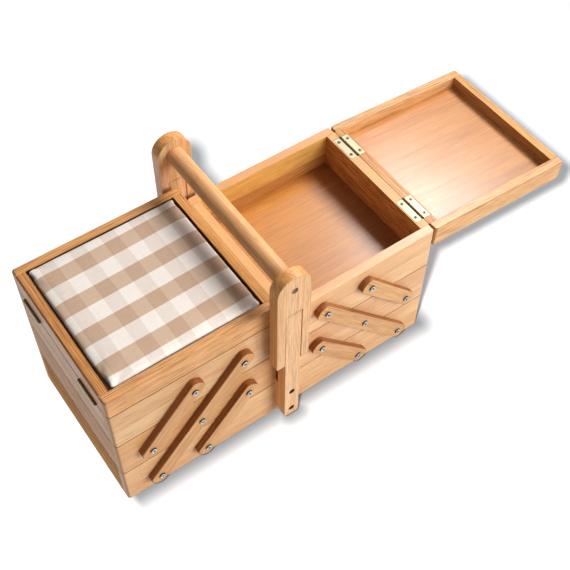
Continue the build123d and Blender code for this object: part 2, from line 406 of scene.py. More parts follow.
class BoardPaint:
    """Paints a bamboo finish in layers, each mixed over the ones before it."""

    rim_darkening: Colour = (0.24, 0.09, 0.024)
    seam_shade: Colour = (0.085, 0.032, 0.011)
    well_shade: Colour = (0.13, 0.035, 0.012)
    bore_shade: Colour = (0.075, 0.028, 0.012)
    wall_shadow_tone: Colour = (0.16, 0.035, 0.012)
    ring_stain: Colour = (0.36, 0.14, 0.045)
    end_tones: tuple[Colour, Colour] = ((0.36, 0.15, 0.045), (0.58, 0.29, 0.105))
    # Turns of each noise in a metre along, across and into the board
    cloud_turns: Point = (5.0, 38.0, 38.0)
    streak_turns: Point = (8.0, 260.0, 260.0)
    fibre_turns: Point = (17.0, 780.0, 780.0)
    fine_turns: Point = (42.0, 1350.0, 1350.0)
    waver_turns: Point = (70.0, 260.0, 90.0)
    dot_turns: Point = (300.0, 1300.0, 1300.0)
    layer: float = 0.06               # depth past which a board is another one
    grain_depth: float = 0.0002       # how deep the grain stands in the varnish
    blur: float = 0.0003              # softness of a stain's limits
    line_blur: float = 0.0002

    def __init__(self, board: Bamboo) -> None:
        """Finds a point's place on the board, its strip's chances and the noises that the layers share.

        The strip's number is the whole part of (place - start) / width. Each strip draws a tone, two
        shifts along the grain and a warmth of its own.

        Args:
            board: the finish.
        """
        self.board = board
        self.graph = Graph.material(board.name)
        self.place, self.normal = board.coordinates(self.graph)
        self.depth_axis = ({0, 1, 2} - {board.grain.value, board.across.value}).pop()
        self.along = self.place[board.grain.value]
        self.across = self.place[board.across.value]
        self.depth = self.place[self.depth_axis]
        self.strip = (self.across - board.start) / board.strip
        key = self.graph.join(self.strip.floor(), (self.depth / self.layer).floor(),
                              float(board.grain.value) + 3.0)
        tone, (drift, self.offset, warmth) = self.graph.chance(key)
        # A slow cloud, broad streaks, fibres about a millimetre across, and finer ones
        cloud = self.noise(self.cloud_turns, 2.0, 0.55, drift * 30.0)
        self.streak = self.noise(self.streak_turns, 2.0, 0.6, self.offset * 40.0)
        self.fibre = self.noise(self.fibre_turns, 2.0, 0.65, self.offset * 25.0)
        self.fine = self.noise(self.fine_turns, 1.0, 0.6)
        shade = ((tone - 0.5) * (0.75 * board.contrast) + (cloud - 0.5) * 1.5
                 + (self.streak - 0.5) * board.streaks + 0.48)
        self.colour = self.graph.mix(shade.rise(-0.2, 1.2), board.light, board.deep)
        self.over((warmth * 0.45 + (cloud - 0.5) * 0.8).most(0.0) * board.contrast, board.rosy)

    def noise(self, turns: Point, detail: float, roughness: float, shift: Wire | float = 0.0) -> Wire:
        """Smooth noise about 0.5, drawn out along the grain.

        Args:
            turns: its turns in a metre along, across and into the board.
            detail: its octaves.
            roughness: how strong the finer octaves are.
            shift: how far it is moved along the grain.

        Returns:
            The noise.
        """
        along, across, depth = turns
        spot = self.graph.join(self.along * along + shift, self.across * across, self.depth * depth)
        return self.graph.noise(spot, detail, roughness)

    def over(self, share: Wire | float, stain: Wire | Colour) -> None:
        """Mixes a share of a stain over the colour so far."""
        self.colour = self.graph.mix(share, self.colour, stain)

    def tints(self) -> None:
        """The lower strips' tone, and the painted shadow of a wall along X."""
        x, _, z = self.place
        lower, wall_shadow = self.board.lower, self.board.wall_shadow
        if lower:
            self.over((1.0 - z.past(lower.height, self.line_blur)) * 0.8, lower.colour)
        # Painted shadow of the tray's end wall, darkening along X towards it
        if wall_shadow:
            self.over(x.rise(wall_shadow.start, wall_shadow.full) * wall_shadow.share, self.wall_shadow_tone)

    def fibres(self) -> None:
        """Dark fibres and hairs, and pale fibres between them."""
        board = self.board
        lines = self.fibre.rise(0.48, 0.70) * 0.34 + self.fine.rise(0.45, 0.75) * board.hair
        self.over((lines * board.figure).least(0.9), board.dark)
        pale = ((1.0 - self.fibre.rise(0.30, 0.47)) * (0.30 * board.figure)).least(0.8)
        self.over(pale, tuple(min(1.0, part * 1.22 + 0.03) for part in board.light))

    def rings(self) -> Wire:
        """Paints rings of the cane: a broken dark line in a mottled band, at other places on each strip.

        Returns:
            How strong the rings are.
        """
        gap = self.board.ring_gap
        waver = self.noise(self.waver_turns, 3.0, 0.65)
        cell = self.along / gap + self.offset * 7.3
        from_ring = ((cell.fraction() - 0.5).size() * gap + (waver - 0.5) * 0.007).size()
        line = (1.0 - from_ring.rise(0.0003, 0.0022)) * waver.rise(0.38, 0.6)
        mottle = (1.0 - from_ring.rise(0.001, 0.016)) * waver.rise(0.5, 0.72)
        rings = (line * 0.34 + mottle * 0.42).least(1.0) * self.board.nodes
        self.over(rings, self.ring_stain)
        return rings

    def glue_lines(self) -> Wire:
        """Paints glue lines between the strips, where a face shows them side by side.

        Returns:
            How strong the lines are.
        """
        board = self.board
        beside = (0.5 - (self.strip.fraction() - 0.5).size()) * board.strip
        flush = 1.0 - self.normal[board.across.value].size().rise(0.6, 0.9)
        glue = (1.0 - beside.rise(0.0001, 0.0007)) * flush * board.glue
        self.over(glue, board.dark)
        return glue

    def rims(self) -> None:
        """Rounded rims are darkened, and those that look into a seam take painted seam shade, the darkest."""
        x, y, z = self.normal
        flat = x.size().most(y.size()).most(z.size())
        self.over((1.0 - flat.rise(0.80, 0.985)) * self.board.rim, self.rim_darkening)
        down = 0.0 - z
        self.over(down.rise(0.06, 0.22) * (1.0 - down.rise(0.9, 0.99)) * self.board.seam, self.seam_shade)
        if self.board.brow:
            self.over(z.rise(0.1, 0.35) * (1.0 - z.rise(0.93, 0.99)) * self.board.brow, self.seam_shade)

    def faces(self) -> None:
        """Painted shade on the inner faces of a well, and a tone on the faces that look up, painted for how
        the light falls on them.
        """
        well, top_light_tone = self.board.well, self.board.top_light_tone
        if well:
            x, y, z = self.place
            inward = self.normal[0] * (well.x - x) + self.normal[1] * (well.y - y)
            between = z.past(well.low, self.blur) * (1.0 - z.past(well.high, self.blur))
            self.over(inward.rise(0.01, 0.03) * between * well.share, self.well_shade)
        # Painted light: faces that look up take their own tone
        if top_light_tone:
            self.over(self.normal[2].rise(0.9, 0.99) * 0.7, top_light_tone)

    def cut_ends(self) -> Wire:
        """Paints cut ends: darker, with fine dots.

        Returns:
            1 on a cut end.
        """
        end = self.normal[self.board.grain.value].size().rise(0.5, 0.9)
        dots = self.noise(self.dot_turns, 1.0, 0.5)
        self.over(end * 0.75, self.graph.mix(dots.rise(0.35, 0.65), *self.end_tones))
        return end

    def cut_edges(self) -> None:
        """Cut edges in a tone of their own, and painted shade in the holes in a board's face."""
        edge, bore = self.board.edge, self.board.bore
        if not edge:
            return
        side = 1.0 - self.normal[self.depth_axis].size().rise(0.35, 0.75)
        worn = self.graph.mix(self.streak.rise(0.35, 0.65), edge, tuple(part * 0.66 for part in edge))
        self.over(side * 0.9, worn)
        if bore:
            inside = (1.0 - self.across.size().past(bore.half, self.line_blur)) * side
            self.over(inside * (1.0 - self.along.rise(bore.top - 0.0005, bore.top)) * 0.9, self.bore_shade)


@dataclass(frozen=True)
class Gingham:
    """Plain-woven cotton check, read from the cloth's own "weave" attribute: across, along and up."""

    slot: ClassVar[Slot] = Slot.CLOTH
    # Below frame_top the pad's sides take painted shade, for the dark gap between the pad and the rails
    frame_top: float                  # height of the frame round the pad; the cloth is soiled below it
    name: str = "gingham_cotton"
    check: tuple[float, float] = (0.0191, 0.02215)    # half the way from one band to the next
    share: tuple[float, float] = (0.50, 0.48)         # how much of the cloth the bands take
    start: tuple[float, float] = (-0.1096, 0.0192)    # middle of one band
    thread: float = 0.00105           # from one thread to the next
    cream: Colour = (0.93, 0.86, 0.79)
    grey: Colour = (0.83, 0.735, 0.665)
    tan: Colour = (0.66, 0.48, 0.345)
    brown: Colour = (0.575, 0.39, 0.27)
    shade: Colour = (0.45, 0.33, 0.25)          # what the gaps between threads multiply by
    # gap_shade and its depths: painted shade on the pad's sides, full at the first depth below the frame's
    # top, none at the second
    gap_shade: Colour = (0.05, 0.035, 0.025)
    gap_shade_depths: tuple[float, float] = (0.0030, 0.0006)     # below the frame: fully soiled, not yet soiled
    thread_height: float = 0.00018
    wobble: float = 0.0007            # how far a band's edge strays
    wobble_turns: float = 700.0       # turns of that stray in a metre
    slub_turns: tuple[float, float] = (950.0, 45.0)         # of a thick thread, across it and along it

    def build(self) -> bpy.types.Material:
        """Builds the material.

        A band lies where the way to the nearest band's middle is less than half its width; soft steps
        join the bands. Threads are crossed sine waves, over and under in turn.

        Returns:
            The material.
        """
        graph = Graph.material(self.name)
        weave = graph.add("ShaderNodeAttribute", {"attribute_name": "weave"}, None, "Vector")
        u, v, height = graph.split(weave)
        stray = graph.noise(graph.join(u * self.wobble_turns, v * self.wobble_turns, 0.0), 2.0, 0.6) - 0.5

        def band(along: Wire, way: int) -> Wire:
            """1 inside the bands of one way, with edges a thread wide.

            Args:
                along: the place across the bands.
                way: 0 for columns, 1 for rows.

            Returns:
                The share.
            """
            turn = (along - self.start[way] + stray * self.wobble) / (2.0 * self.check[way])
            edge = 0.5 - self.share[way] / 2.0
            return (turn.fraction() - 0.5).size().past(edge, 0.008)

        column, row = band(u, 0), band(v, 1)
        light = graph.mix(column, self.cream, self.grey)
        dark = graph.mix(column, self.tan, self.brown)
        colour = graph.mix(row, light, dark)
        turns = 2.0 * math.pi / self.thread
        warp, weft = ((way * turns).math("SINE") for way in (u, v))
        cross = (u * (turns / 2.0)).math("SINE") * (v * (turns / 2.0)).math("SINE")
        cloth = warp * 0.25 + weft * 0.25 + cross * 0.25 + 0.5
        thick, long = self.slub_turns
        slub_u = graph.noise(graph.join(u * thick, v * long, 0.0), 2.0, 0.6)
        slub_v = graph.noise(graph.join(u * long, v * thick, 5.0), 2.0, 0.6)
        slub = slub_u * 0.5 + slub_v * 0.5
        fleck = ((1.0 - cloth) * 0.20 + slub.rise(0.45, 0.7) * 0.30).least(1.0)
        colour = graph.mix(fleck, colour, graph.mix(0.6, colour, self.shade, "MULTIPLY"))
        # Painted shade on the pad's sides below the frame's top
        gap_shaded = 1.0 - height.rise(*(self.frame_top - depth for depth in self.gap_shade_depths))
        colour = graph.mix(gap_shaded * 0.93, colour, self.gap_shade)
        return graph.close(Base_Color=colour, Roughness=0.92, Sheen_Weight=0.18, Sheen_Roughness=0.5,
                           Specular_IOR_Level=0.25,
                           Normal=graph.bump(cloth + slub * 0.5, self.thread_height, 0.6))


@dataclass(frozen=True)
class Metal:
    """Polished or plated metal with fine scratches, or metal coloured dark as painted shade."""

    name: str
    colour: Colour
    worn: Colour
    roughness: float
    slot: Slot = Slot.STEEL
    scratch: float = 0.00003          # how deep the scratches stand
    # recess_shade: painted shade, laid on by the tone attribute
    recess_shade: Colour = (0.018, 0.014, 0.01)
    haze_turns: float = 260.0         # in a metre
    scratch_turns: tuple[float, float] = (900.0, 4500.0)    # along the scratches and across them

    def build(self) -> bpy.types.Material:
        """Builds the material: fine cross-wise noise tints the metal and roughens it.

        Returns:
            The material.
        """
        graph = Graph.material(self.name)
        x, y, z = graph.split(graph.add("ShaderNodeTexCoord", None, None, "Object"))
        haze = graph.noise(graph.join(*(part * self.haze_turns for part in (x, y, z))), 4.0, 0.65)
        along, across = self.scratch_turns
        lines = graph.noise(graph.join(x * along, y * across, z * along), 2.0, 0.7)
        colour = graph.mix(haze.rise(0.42, 0.75) * 0.6, self.colour, self.worn)
        # The tone attribute paints shade: recesses, rims and feet of screw heads go dark and rough
        tone = graph.add("ShaderNodeAttribute", {"attribute_name": "tone"}, None, "Fac")
        colour = graph.mix(tone.rise(0.05, 0.8) * 0.93, colour, self.recess_shade)
        rough = haze * 0.18 + lines * 0.08 + tone * 0.4 + (self.roughness - 0.10)
        return graph.close(Base_Color=colour, Metallic=1.0, Roughness=rough,
                           Normal=graph.bump(lines, self.scratch, 0.35))


Finish = Bamboo | Gingham | Metal


# ---- Surfaces ----
@dataclass
class Skin:
    """Points and faces, before they become a mesh. A point's tone is 1 where painted shade goes, in recesses
    and round rims.
    """

    points: np.ndarray
    quads: np.ndarray
    caps: list[list[int]]
    tone: np.ndarray | None = None

    def flipped(self, signs: Point) -> "Skin":
        """The same skin with one coordinate's sign changed, and its faces still outwards."""
        return Skin(self.points * signs, self.quads[:, ::-1], [cap[::-1] for cap in self.caps], self.tone)

    def mirrored(self) -> "Skin":
        """The same skin on the other side of the box."""
        return self.flipped((-1.0, 1.0, 1.0))

    def to_back(self) -> "Skin":
        """The same skin on the back of the box."""
        return self.flipped((1.0, -1.0, 1.0))

    def on_side(self, side: str) -> "Skin":
        """A skin that was made on the right, on its own side of the box."""
        return self.mirrored() if side == "left" else self

    def front_and_back(self) -> "Skin":
        """The skin and its mirror image on the back of the box."""
        return joined([self, self.to_back()])

    def moved(self, shift: Point) -> "Skin":
        """The same skin elsewhere."""
        return Skin(self.points + np.asarray(shift, float), self.quads, self.caps, self.tone)

    def turned(self, turn: Turn) -> "Skin":
        """The same skin after a turn about an axis along Y.

        Args:
            turn: the angle and the axis.

        Returns:
            The turned skin.
        """
        cos, sin = math.cos(turn.angle), math.sin(turn.angle)
        centre = np.asarray(turn.centre, float)
        about_y = np.array([[cos, 0.0, sin], [0.0, 1.0, 0.0], [-sin, 0.0, cos]])
        return self.moved(-centre).mapped(about_y).moved(centre)

    def mapped(self, matrix: np.ndarray) -> "Skin":
        """The same skin with each point taken through a 3 by 3 matrix that mirrors nothing."""
        return Skin(self.points @ matrix.T, self.quads, self.caps, self.tone)


def joined(skins: Iterable[Skin]) -> Skin:
    """Several skins as one.

    Args:
        skins: the skins.

    Returns:
        One skin with all their faces.
    """
    points, quads, caps, tones, count = [], [], [], [], 0
    for skin in skins:
        points.append(skin.points)
        quads.append(skin.quads + count)
        caps.extend([[index + count for index in cap] for cap in skin.caps])
        tones.append(np.zeros(len(skin.points)) if skin.tone is None else skin.tone)
        count += len(skin.points)
    return Skin(np.concatenate(points), np.concatenate(quads), caps, np.concatenate(tones))


def tube(rings: np.ndarray, tone: np.ndarray | None = None) -> Skin:
    """A stack of rings joined into a closed skin, with a flat cap at either end.

    Corner (i, j) is joined to (i, j+1), (i+1, j+1) and (i+1, j), with j counted round the ring.

    Args:
        rings: points by ring, place round the ring, and coordinate.
        tone: one value a point, by ring and place round it.

    Returns:
        The closed skin.
    """
    rows, columns = rings.shape[:2]
    i, j = np.meshgrid(np.arange(rows - 1), np.arange(columns), indexing="ij")
    here, after = i * columns + j, i * columns + (j + 1) % columns
    quads = np.stack([here, after, after + columns, here + columns], -1).reshape(-1, 4)
    last = (rows - 1) * columns
    caps = [list(range(columns))[::-1], list(range(last, last + columns))]
    return Skin(rings.reshape(-1, 3), quads, caps, None if tone is None else tone.ravel())


def rectangle(x0: float, y0: float, x1: float, y1: float) -> np.ndarray:
    """A rectangle's corners, in the order that keeps the inside on the left."""
    return np.array([(x0, y0), (x1, y0), (x1, y1), (x0, y1)])


def rounded_outline(corners: Sequence[Point], radii: Sequence[float], steps: int = 5) -> np.ndarray:
    """A closed outline whose corners are arcs.

    At each corner the arc's centre lies at the radius from both sides, and the arc's points are
    centre + radius * (turned normal), the normal turning evenly from one side's to the next's.

    Args:
        corners: corners in the order that keeps the inside on the left.
        radii: each corner's radius.
        steps: points less one on each arc.

    Returns:
        An array of points.
    """
    spots = np.asarray(corners, float)
    outline = []
    for here, before, after, radius in zip(spots, np.roll(spots, 1, 0), np.roll(spots, -1, 0), radii):
        arrive = (here - before) / np.linalg.norm(here - before)
        leave = (after - here) / np.linalg.norm(after - here)
        bend = math.atan2(arrive[0] * leave[1] - arrive[1] * leave[0], arrive @ leave)
        side = math.copysign(1.0, bend)
        normal = np.array([arrive[1], -arrive[0]])
        centre = here - arrive * radius * math.tan(abs(bend) / 2) - side * normal * radius
        angles = math.atan2(normal[1], normal[0]) + np.linspace(0.0, bend, steps + 1)
        outline.append(centre + side * radius * np.stack([np.cos(angles), np.sin(angles)], -1))
    return np.concatenate(outline)


def outward(outline: np.ndarray) -> np.ndarray:
    """Unit normals of a closed outline, across the line from one neighbour to the other.

    Args:
        outline: its points.

    Returns:
        The normals, one a point.
    """
    along = np.roll(outline, -1, 0) - np.roll(outline, 1, 0)
    normal = np.stack([along[:, 1], -along[:, 0]], -1)
    return normal / np.linalg.norm(normal, axis=1, keepdims=True)


def prism(outline: np.ndarray, low: float, high: float, rim_low: np.ndarray | float,
          rim_high: np.ndarray | float, steps: int = 3) -> Skin:
    """An outline drawn out along Z, with rounded rims.

    On a rim of radius r, ring number k of n stands r * (1 - cos(90 deg * k / n)) from the end and lies
    r * (1 - sin(90 deg * k / n)) inside the outline, along the outline's normals.

    Args:
        outline: its points, inside on the left.
        low: lower end.
        high: upper end.
        rim_low: radius of the lower rim, one value or one a point.
        rim_high: radius of the upper rim.
        steps: rings less one on each rim.

    Returns:
        The closed skin.
    """
    normal = outward(outline)
    sweep = np.linspace(0.0, math.pi / 2, steps + 1)[:, None]
    rings = []
    for end, radius, way in ((low, rim_low, 1.0), (high, rim_high, -1.0)):
        radius = np.broadcast_to(np.asarray(radius, float), len(outline))
        inset = radius * (1.0 - np.sin(sweep))
        level = end + way * radius * (1.0 - np.cos(sweep))
        flat = outline[None] - inset[..., None] * normal[None]
        ring = np.concatenate([flat, level[..., None]], -1)
        rings.append(ring if way > 0 else ring[::-1])
    return tube(np.concatenate(rings))


def upright(outline: np.ndarray, low: Point, high: Point, share: np.ndarray, rims: tuple[float, float],
            inner: float) -> Skin:
    """An outline carried up, each point's rims between the inner radius and their own by its share."""
    rim_low, rim_high = (inner + (rim - inner) * share for rim in rims)
    return prism(outline, low[2], high[2], rim_low, rim_high)


def board(low: Point, high: Point, outside: Point, corner: float, rim_low: float, rim_high: float,
          inner: float = 0.0003) -> Skin:
    """An upright board seen from above as a rectangle, its outer corners and rims rounded.

    Args:
        low: lowest corner.
        high: highest corner.
        outside: direction in plan that the board's outer face looks in.
        corner: radius of the upright corners on the outer face.
        rim_low: radius of the lower rim where it is outside.
        rim_high: radius of the upper rim where it is outside.
        inner: radius of every inside edge.

    Returns:
        The closed skin.
    """
    plan = rectangle(*low[:2], *high[:2])
    is_outer = (plan - plan.mean(0)) @ np.asarray(outside, float) > 0
    outline = rounded_outline(plan, np.where(is_outer, corner, inner))
    share = np.clip(outward(outline) @ np.asarray(outside, float) * 2.0 + 1.2, 0.0, 1.0)
    return upright(outline, low, high, share, (rim_low, rim_high), inner)


def rail(low: Point, high: Point, outside: Point, rim_low: float, rim_high: float,
         inner: float = 0.0003) -> Skin:
    """A board that stands between two others: its ends stay square and only its outer face is eased.

    Args:
        low: lowest corner.
        high: highest corner.
        outside: direction in plan that its outer face looks in.
        rim_low: radius of the lower rim outside.
        rim_high: radius of the upper rim outside.
        inner: radius of every other edge.

    Returns:
        The closed skin.
    """
    outline = rounded_outline(rectangle(*low[:2], *high[:2]), [inner] * 4)
    share = np.clip(outward(outline) @ np.asarray(outside, float) * 3.0 - 1.5, 0.0, 1.0)
    return upright(outline, low, high, share, (rim_low, rim_high), inner)


def panel(low: Point, high: Point) -> Skin:
    """A thin flat panel whose edges are barely broken."""
    return board(low, high, (0, -1), 0.0004, 0.0003, 0.0003)


def band(inner: np.ndarray, outer: np.ndarray, low: float, high: float, rim_inner: float,
         rim_outer: float, steps: int = 4) -> Skin:
    """A flat band between two open lines, drawn out along Z, with rounded rims.

    At each place the section is a rectangle from the inner to the outer point and from low to high. Its
    corner arcs' points are centre + radius * (cos, sin) of an evenly growing angle.

    Args:
        inner: points of the inner line.
        outer: as many points of the outer line.
        low: lower face.
        high: upper face.
        rim_inner: radius of the rims along the inner line.
        rim_outer: radius of the rims along the outer line.
        steps: faces on each rim.

    Returns:
        The closed skin.
    """
    across = outer - inner
    width = np.linalg.norm(across, axis=1)
    unit = across / width[:, None]
    sweep = np.linspace(0.0, math.pi / 2, steps + 1)
    reach, level = [], []
    for turn, far, up, radius in ((math.pi, 0, 0, rim_inner), (1.5 * math.pi, 1, 0, rim_outer),
                                  (0.0, 1, 1, rim_outer), (0.5 * math.pi, 0, 1, rim_inner)):
        side, end = (1.0 if far else -1.0), (1.0 if up else -1.0)
        reach.append(far * width[:, None] - side * radius + radius * np.cos(turn + sweep)[None])
        level.append((high if up else low) - end * radius + radius * np.sin(turn + sweep))
    reach, level = np.concatenate(reach, 1), np.concatenate(level)
    flat = inner[:, None] + unit[:, None] * reach[..., None]
    return tube(np.concatenate([flat, np.broadcast_to(level[None, :, None], reach.shape + (1,))], -1))


def lathe(profile: Sequence[Point], columns: int = 40) -> Skin:
    """A profile of (radius, height) points turned about Z, from its lower end to its upper end.

    Args:
        profile: points in rising order; the ends close with flat caps.
        columns: points round the axis.

    Returns:
        The closed skin.
    """
    radius, height = np.asarray(profile, float).T
    angle = np.arange(columns) * 2.0 * math.pi / columns
    ring = np.stack([np.cos(angle), np.sin(angle)], -1)
    level = np.broadcast_to(height[:, None, None], (len(radius), columns, 1))
    return tube(np.concatenate([radius[:, None, None] * ring[None], level], -1))


@dataclass(frozen=True)
class ScrewHead:
    """A screw's head with a cross recess, its axis along +Z and its seat at height 0."""

    radius: float = 0.004
    height: float = 0.0024
    crown: float = 0.0006             # how much the middle stands above the rim
    arm: float = 0.0030               # half length of the recess
    slot: float = 0.00062             # half width of the recess
    depth: float = 0.0009
    below: float = 0.0006             # how far the head is carried down past its seat
    turn: float = 0.5                 # how far the recess is turned
    columns: ClassVar[int] = 56
    brink: ClassVar[float] = 0.86     # share of the radius past which the rim rounds off
    brink_drop: ClassVar[float] = 0.0007

    def skin(self) -> Skin:
        """Builds the head.

        On rings of radius r the height is height - crown * (r / R)^2, less brink_drop times the square
        of the way from the brink to the rim, less the recess: depth times a soft step inside each arm.

        Returns:
            The closed skin.
        """
        rings = np.concatenate([np.linspace(1e-5, self.brink, 18), [0.93, 0.975, 1.0]])
        angle = np.arange(self.columns) * 2.0 * math.pi / self.columns
        share, a = np.meshgrid(rings, angle, indexing="ij")
        x, y = self.radius * share * np.cos(a), self.radius * share * np.sin(a)
        past_brink = np.clip((share - self.brink) / (1.0 - self.brink), 0.0, None)
        z = self.height - self.crown * share ** 2 - self.brink_drop * past_brink ** 2
        u = x * math.cos(self.turn) + y * math.sin(self.turn)
        v = -x * math.sin(self.turn) + y * math.cos(self.turn)

        def inside(value: np.ndarray, low: float, high: float) -> np.ndarray:
            """Smooth fall from 1 within low of the middle to 0 past high."""
            t = np.clip((np.abs(value) - low) / (high - low), 0.0, 1.0)
            return 1.0 - t * t * (3.0 - 2.0 * t)

        sunk = np.maximum(*(inside(p, self.slot * 0.7, self.slot * 1.5) * inside(q, self.arm * 0.8, self.arm)
                            for p, q in ((u, v), (v, u))))
        head = np.stack([x, y, z - self.depth * sunk], -1)[::-1]
        foot = np.stack([x[-1], y[-1], np.full(self.columns, -self.below)], -1)
        # tone: painted shade in the recess, round the rim and on the foot
        tone = np.concatenate([np.ones((1, self.columns)), np.maximum(sunk, share ** 12)[::-1]])
        return tube(np.concatenate([foot[None], head]), tone)


def facing_front(skin: Skin) -> Skin:
    """Turns a skin's +Z to the front of the box (-Y) and its +Y to up."""
    return skin.mapped(np.array([[1.0, 0.0, 0.0], [0.0, 0.0, -1.0], [0.0, 1.0, 0.0]]))


def along_y(skin: Skin) -> Skin:
    """Turns a skin's +Z to +Y."""
    return skin.mapped(np.array([[1.0, 0.0, 0.0], [0.0, 0.0, 1.0], [0.0, -1.0, 0.0]]))


# ---- Pieces ----
SHARP = 36.0      # degrees past which an edge of wood or metal stays sharp


def in_scene(name: str, data: bpy.types.ID) -> bpy.types.Object:
    """A new object that shows some data.

    Args:
        name: the object's name.
        data: what it shows.

    Returns:
        The object.
    """
    made = bpy.data.objects.new(name, data)
    bpy.context.scene.collection.objects.link(made)
    return made


def apply_modifiers(piece: bpy.types.Object) -> None:
    """Makes what a piece's modifiers show its own mesh.

    Args:
        piece: the piece, which then has no modifiers.
    """
    shown = piece.evaluated_get(bpy.context.evaluated_depsgraph_get())
    mesh = bpy.data.meshes.new_from_object(shown)
    piece.modifiers.clear()
    piece.data = mesh


def points_of(mesh: bpy.types.Mesh) -> np.ndarray:
    """A mesh's points, one a row.

    Args:
        mesh: the mesh.

    Returns:
        The points.
    """
    points = np.empty(len(mesh.vertices) * 3)
    mesh.vertices.foreach_get("co", points)
    return points.reshape(-1, 3)


def move_points(mesh: bpy.types.Mesh, points: np.ndarray) -> None:
    """Puts a mesh's points elsewhere."""
    mesh.vertices.foreach_set("co", points.ravel())
    mesh.update()


@dataclass
class Bench:
    """Turns skins into finished pieces of the box, and keeps each finish once."""

    materials: dict[str, bpy.types.Material]

    def finish(self, finish: Finish) -> bpy.types.Material:
        """The material of a finish, built when it is first asked for.

        Args:
            finish: the finish.

        Returns:
            The material.
        """
        if finish.name not in self.materials:
            self.materials[finish.name] = finish.build()
        return self.materials[finish.name]

    def mesh(self, name: str, skin: Skin, sharp: float = SHARP) -> bpy.types.Object:
        """Makes an object from a skin, welded, with its normals outwards and its flat faces kept flat.

        Args:
            name: the object's name.
            skin: its points and faces.
            sharp: angle in degrees past which an edge stays sharp.

        Returns:
            The object.
        """
        mesh = bpy.data.meshes.new(name)
        mesh.from_pydata(skin.points.tolist(), [], skin.quads.tolist() + skin.caps)
        if skin.tone is not None:
            mesh.attributes.new("tone", "FLOAT", "POINT").data.foreach_set("value", skin.tone)
        shell = bmesh.new()
        shell.from_mesh(mesh)
        bmesh.ops.remove_doubles(shell, verts=shell.verts, dist=1e-7)
        bmesh.ops.recalc_face_normals(shell, faces=shell.faces)
        shell.to_mesh(mesh)
        shell.free()
        mesh.polygons.foreach_set("use_smooth", np.ones(len(mesh.polygons), bool))
        mesh.set_sharp_from_angle(angle=math.radians(sharp))
        return in_scene(name, mesh)

    def cut(self, piece: bpy.types.Object, tool: Skin) -> None:
        """Cuts a room out of a piece.

        Args:
            piece: the piece.
            tool: the room's surface.
        """
        cutter = self.mesh(piece.name + "_cutter", tool)
        modifier = piece.modifiers.new("room", "BOOLEAN")
        modifier.operation = "DIFFERENCE"
        modifier.solver = "EXACT"
        modifier.object = cutter
        apply_modifiers(piece)
        bpy.data.objects.remove(cutter)
        piece.data.set_sharp_from_angle(angle=math.radians(SHARP))

    def make(self, name: str, skin: Skin, finish: Finish, body: str, *nodes: str,
             cuts: Iterable[Skin] = ()) -> None:
        """Makes a piece of wood or metal and fits it.

        Args:
            name: the piece's name.
            skin: its surface.
            finish: its finish.
            body: the body it moves with.
            nodes: the nodes it stands for.
            cuts: rooms that are cut out of it.
        """
        piece = self.mesh(name, skin)
        for room in cuts:
            self.cut(piece, room)
        self.fit(piece, finish, body, *nodes)

    def fit(self, piece: bpy.types.Object, finish: Finish, body: str, *nodes: str) -> None:
        """Dresses a piece, seats it on its body and lets it stand for its nodes.

        Args:
            piece: the object.
            finish: its finish.
            body: the body it moves with.
            nodes: the nodes it stands for.
        """
        piece.data.materials.clear()
        piece.data.materials.append(self.finish(finish))
        if finish.slot is not Slot.CLOTH:
            even = piece.modifiers.new("even_normals", "WEIGHTED_NORMAL")
            even.keep_sharp = True
        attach(piece, body)
        if nodes:
            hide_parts(*nodes)
        LOG.info("%s rides on %s", piece.name, body)


def corners(node: str) -> tuple[np.ndarray, np.ndarray]:
    """Lowest and highest corner of a node, as arrays."""
    low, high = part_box(node)
    return np.array(low), np.array(high)


INWARD = {"left": 1.0, "right": -1.0}      # each side's way along X to the handle
LID_HINGE = JOINTS["right_lid_hinge"]
HINGE_X, _, HINGE_Z = LID_HINGE["pos_m"]
LID_TURN = Turn(math.radians(-LID_HINGE["range_deg"][0]), tuple(LID_HINGE["pos_m"]))
HALF_WALL = corners("base_front_wall")[1][2] / 2      # a wall is glued up from two strips
GLUE_START = 0.0006                                   # the lowest strip's lower edge
LONG_PIVOT = np.array(JOINTS["right_trays_open"]["pos_m"])
LINK_STEP = np.array(JOINTS["right_mid_tray_level"]["pos_m"]) - LONG_PIVOT
LINK_RUN, LINK_RISE = -LINK_STEP[0], LINK_STEP[2]
LINK_LEAN = math.atan2(LINK_RUN, LINK_RISE)
PANEL_LOW, PANEL_HIGH = corners("left_lid_panel")
PANEL_MID_X, PANEL_MID_Y = (PANEL_LOW + PANEL_HIGH)[:2] / 2
LID_TOP = corners("left_lid_front_rail")[1][2]

WALL_X = Bamboo("bamboo_long_walls", Axis.X, Axis.Z, HALF_WALL, GLUE_START,
                light=(0.79, 0.51, 0.265), deep=(0.62, 0.35, 0.145), rim=0.6, figure=0.9, hair=0.45,
                streaks=0.7)
BASE_X = replace(WALL_X, name="bamboo_base_walls", light=(0.85, 0.54, 0.265), deep=(0.67, 0.37, 0.145))
MIDDLE_X = replace(WALL_X, name="bamboo_middle_walls", light=(0.73, 0.415, 0.165), deep=(0.57, 0.285, 0.085))
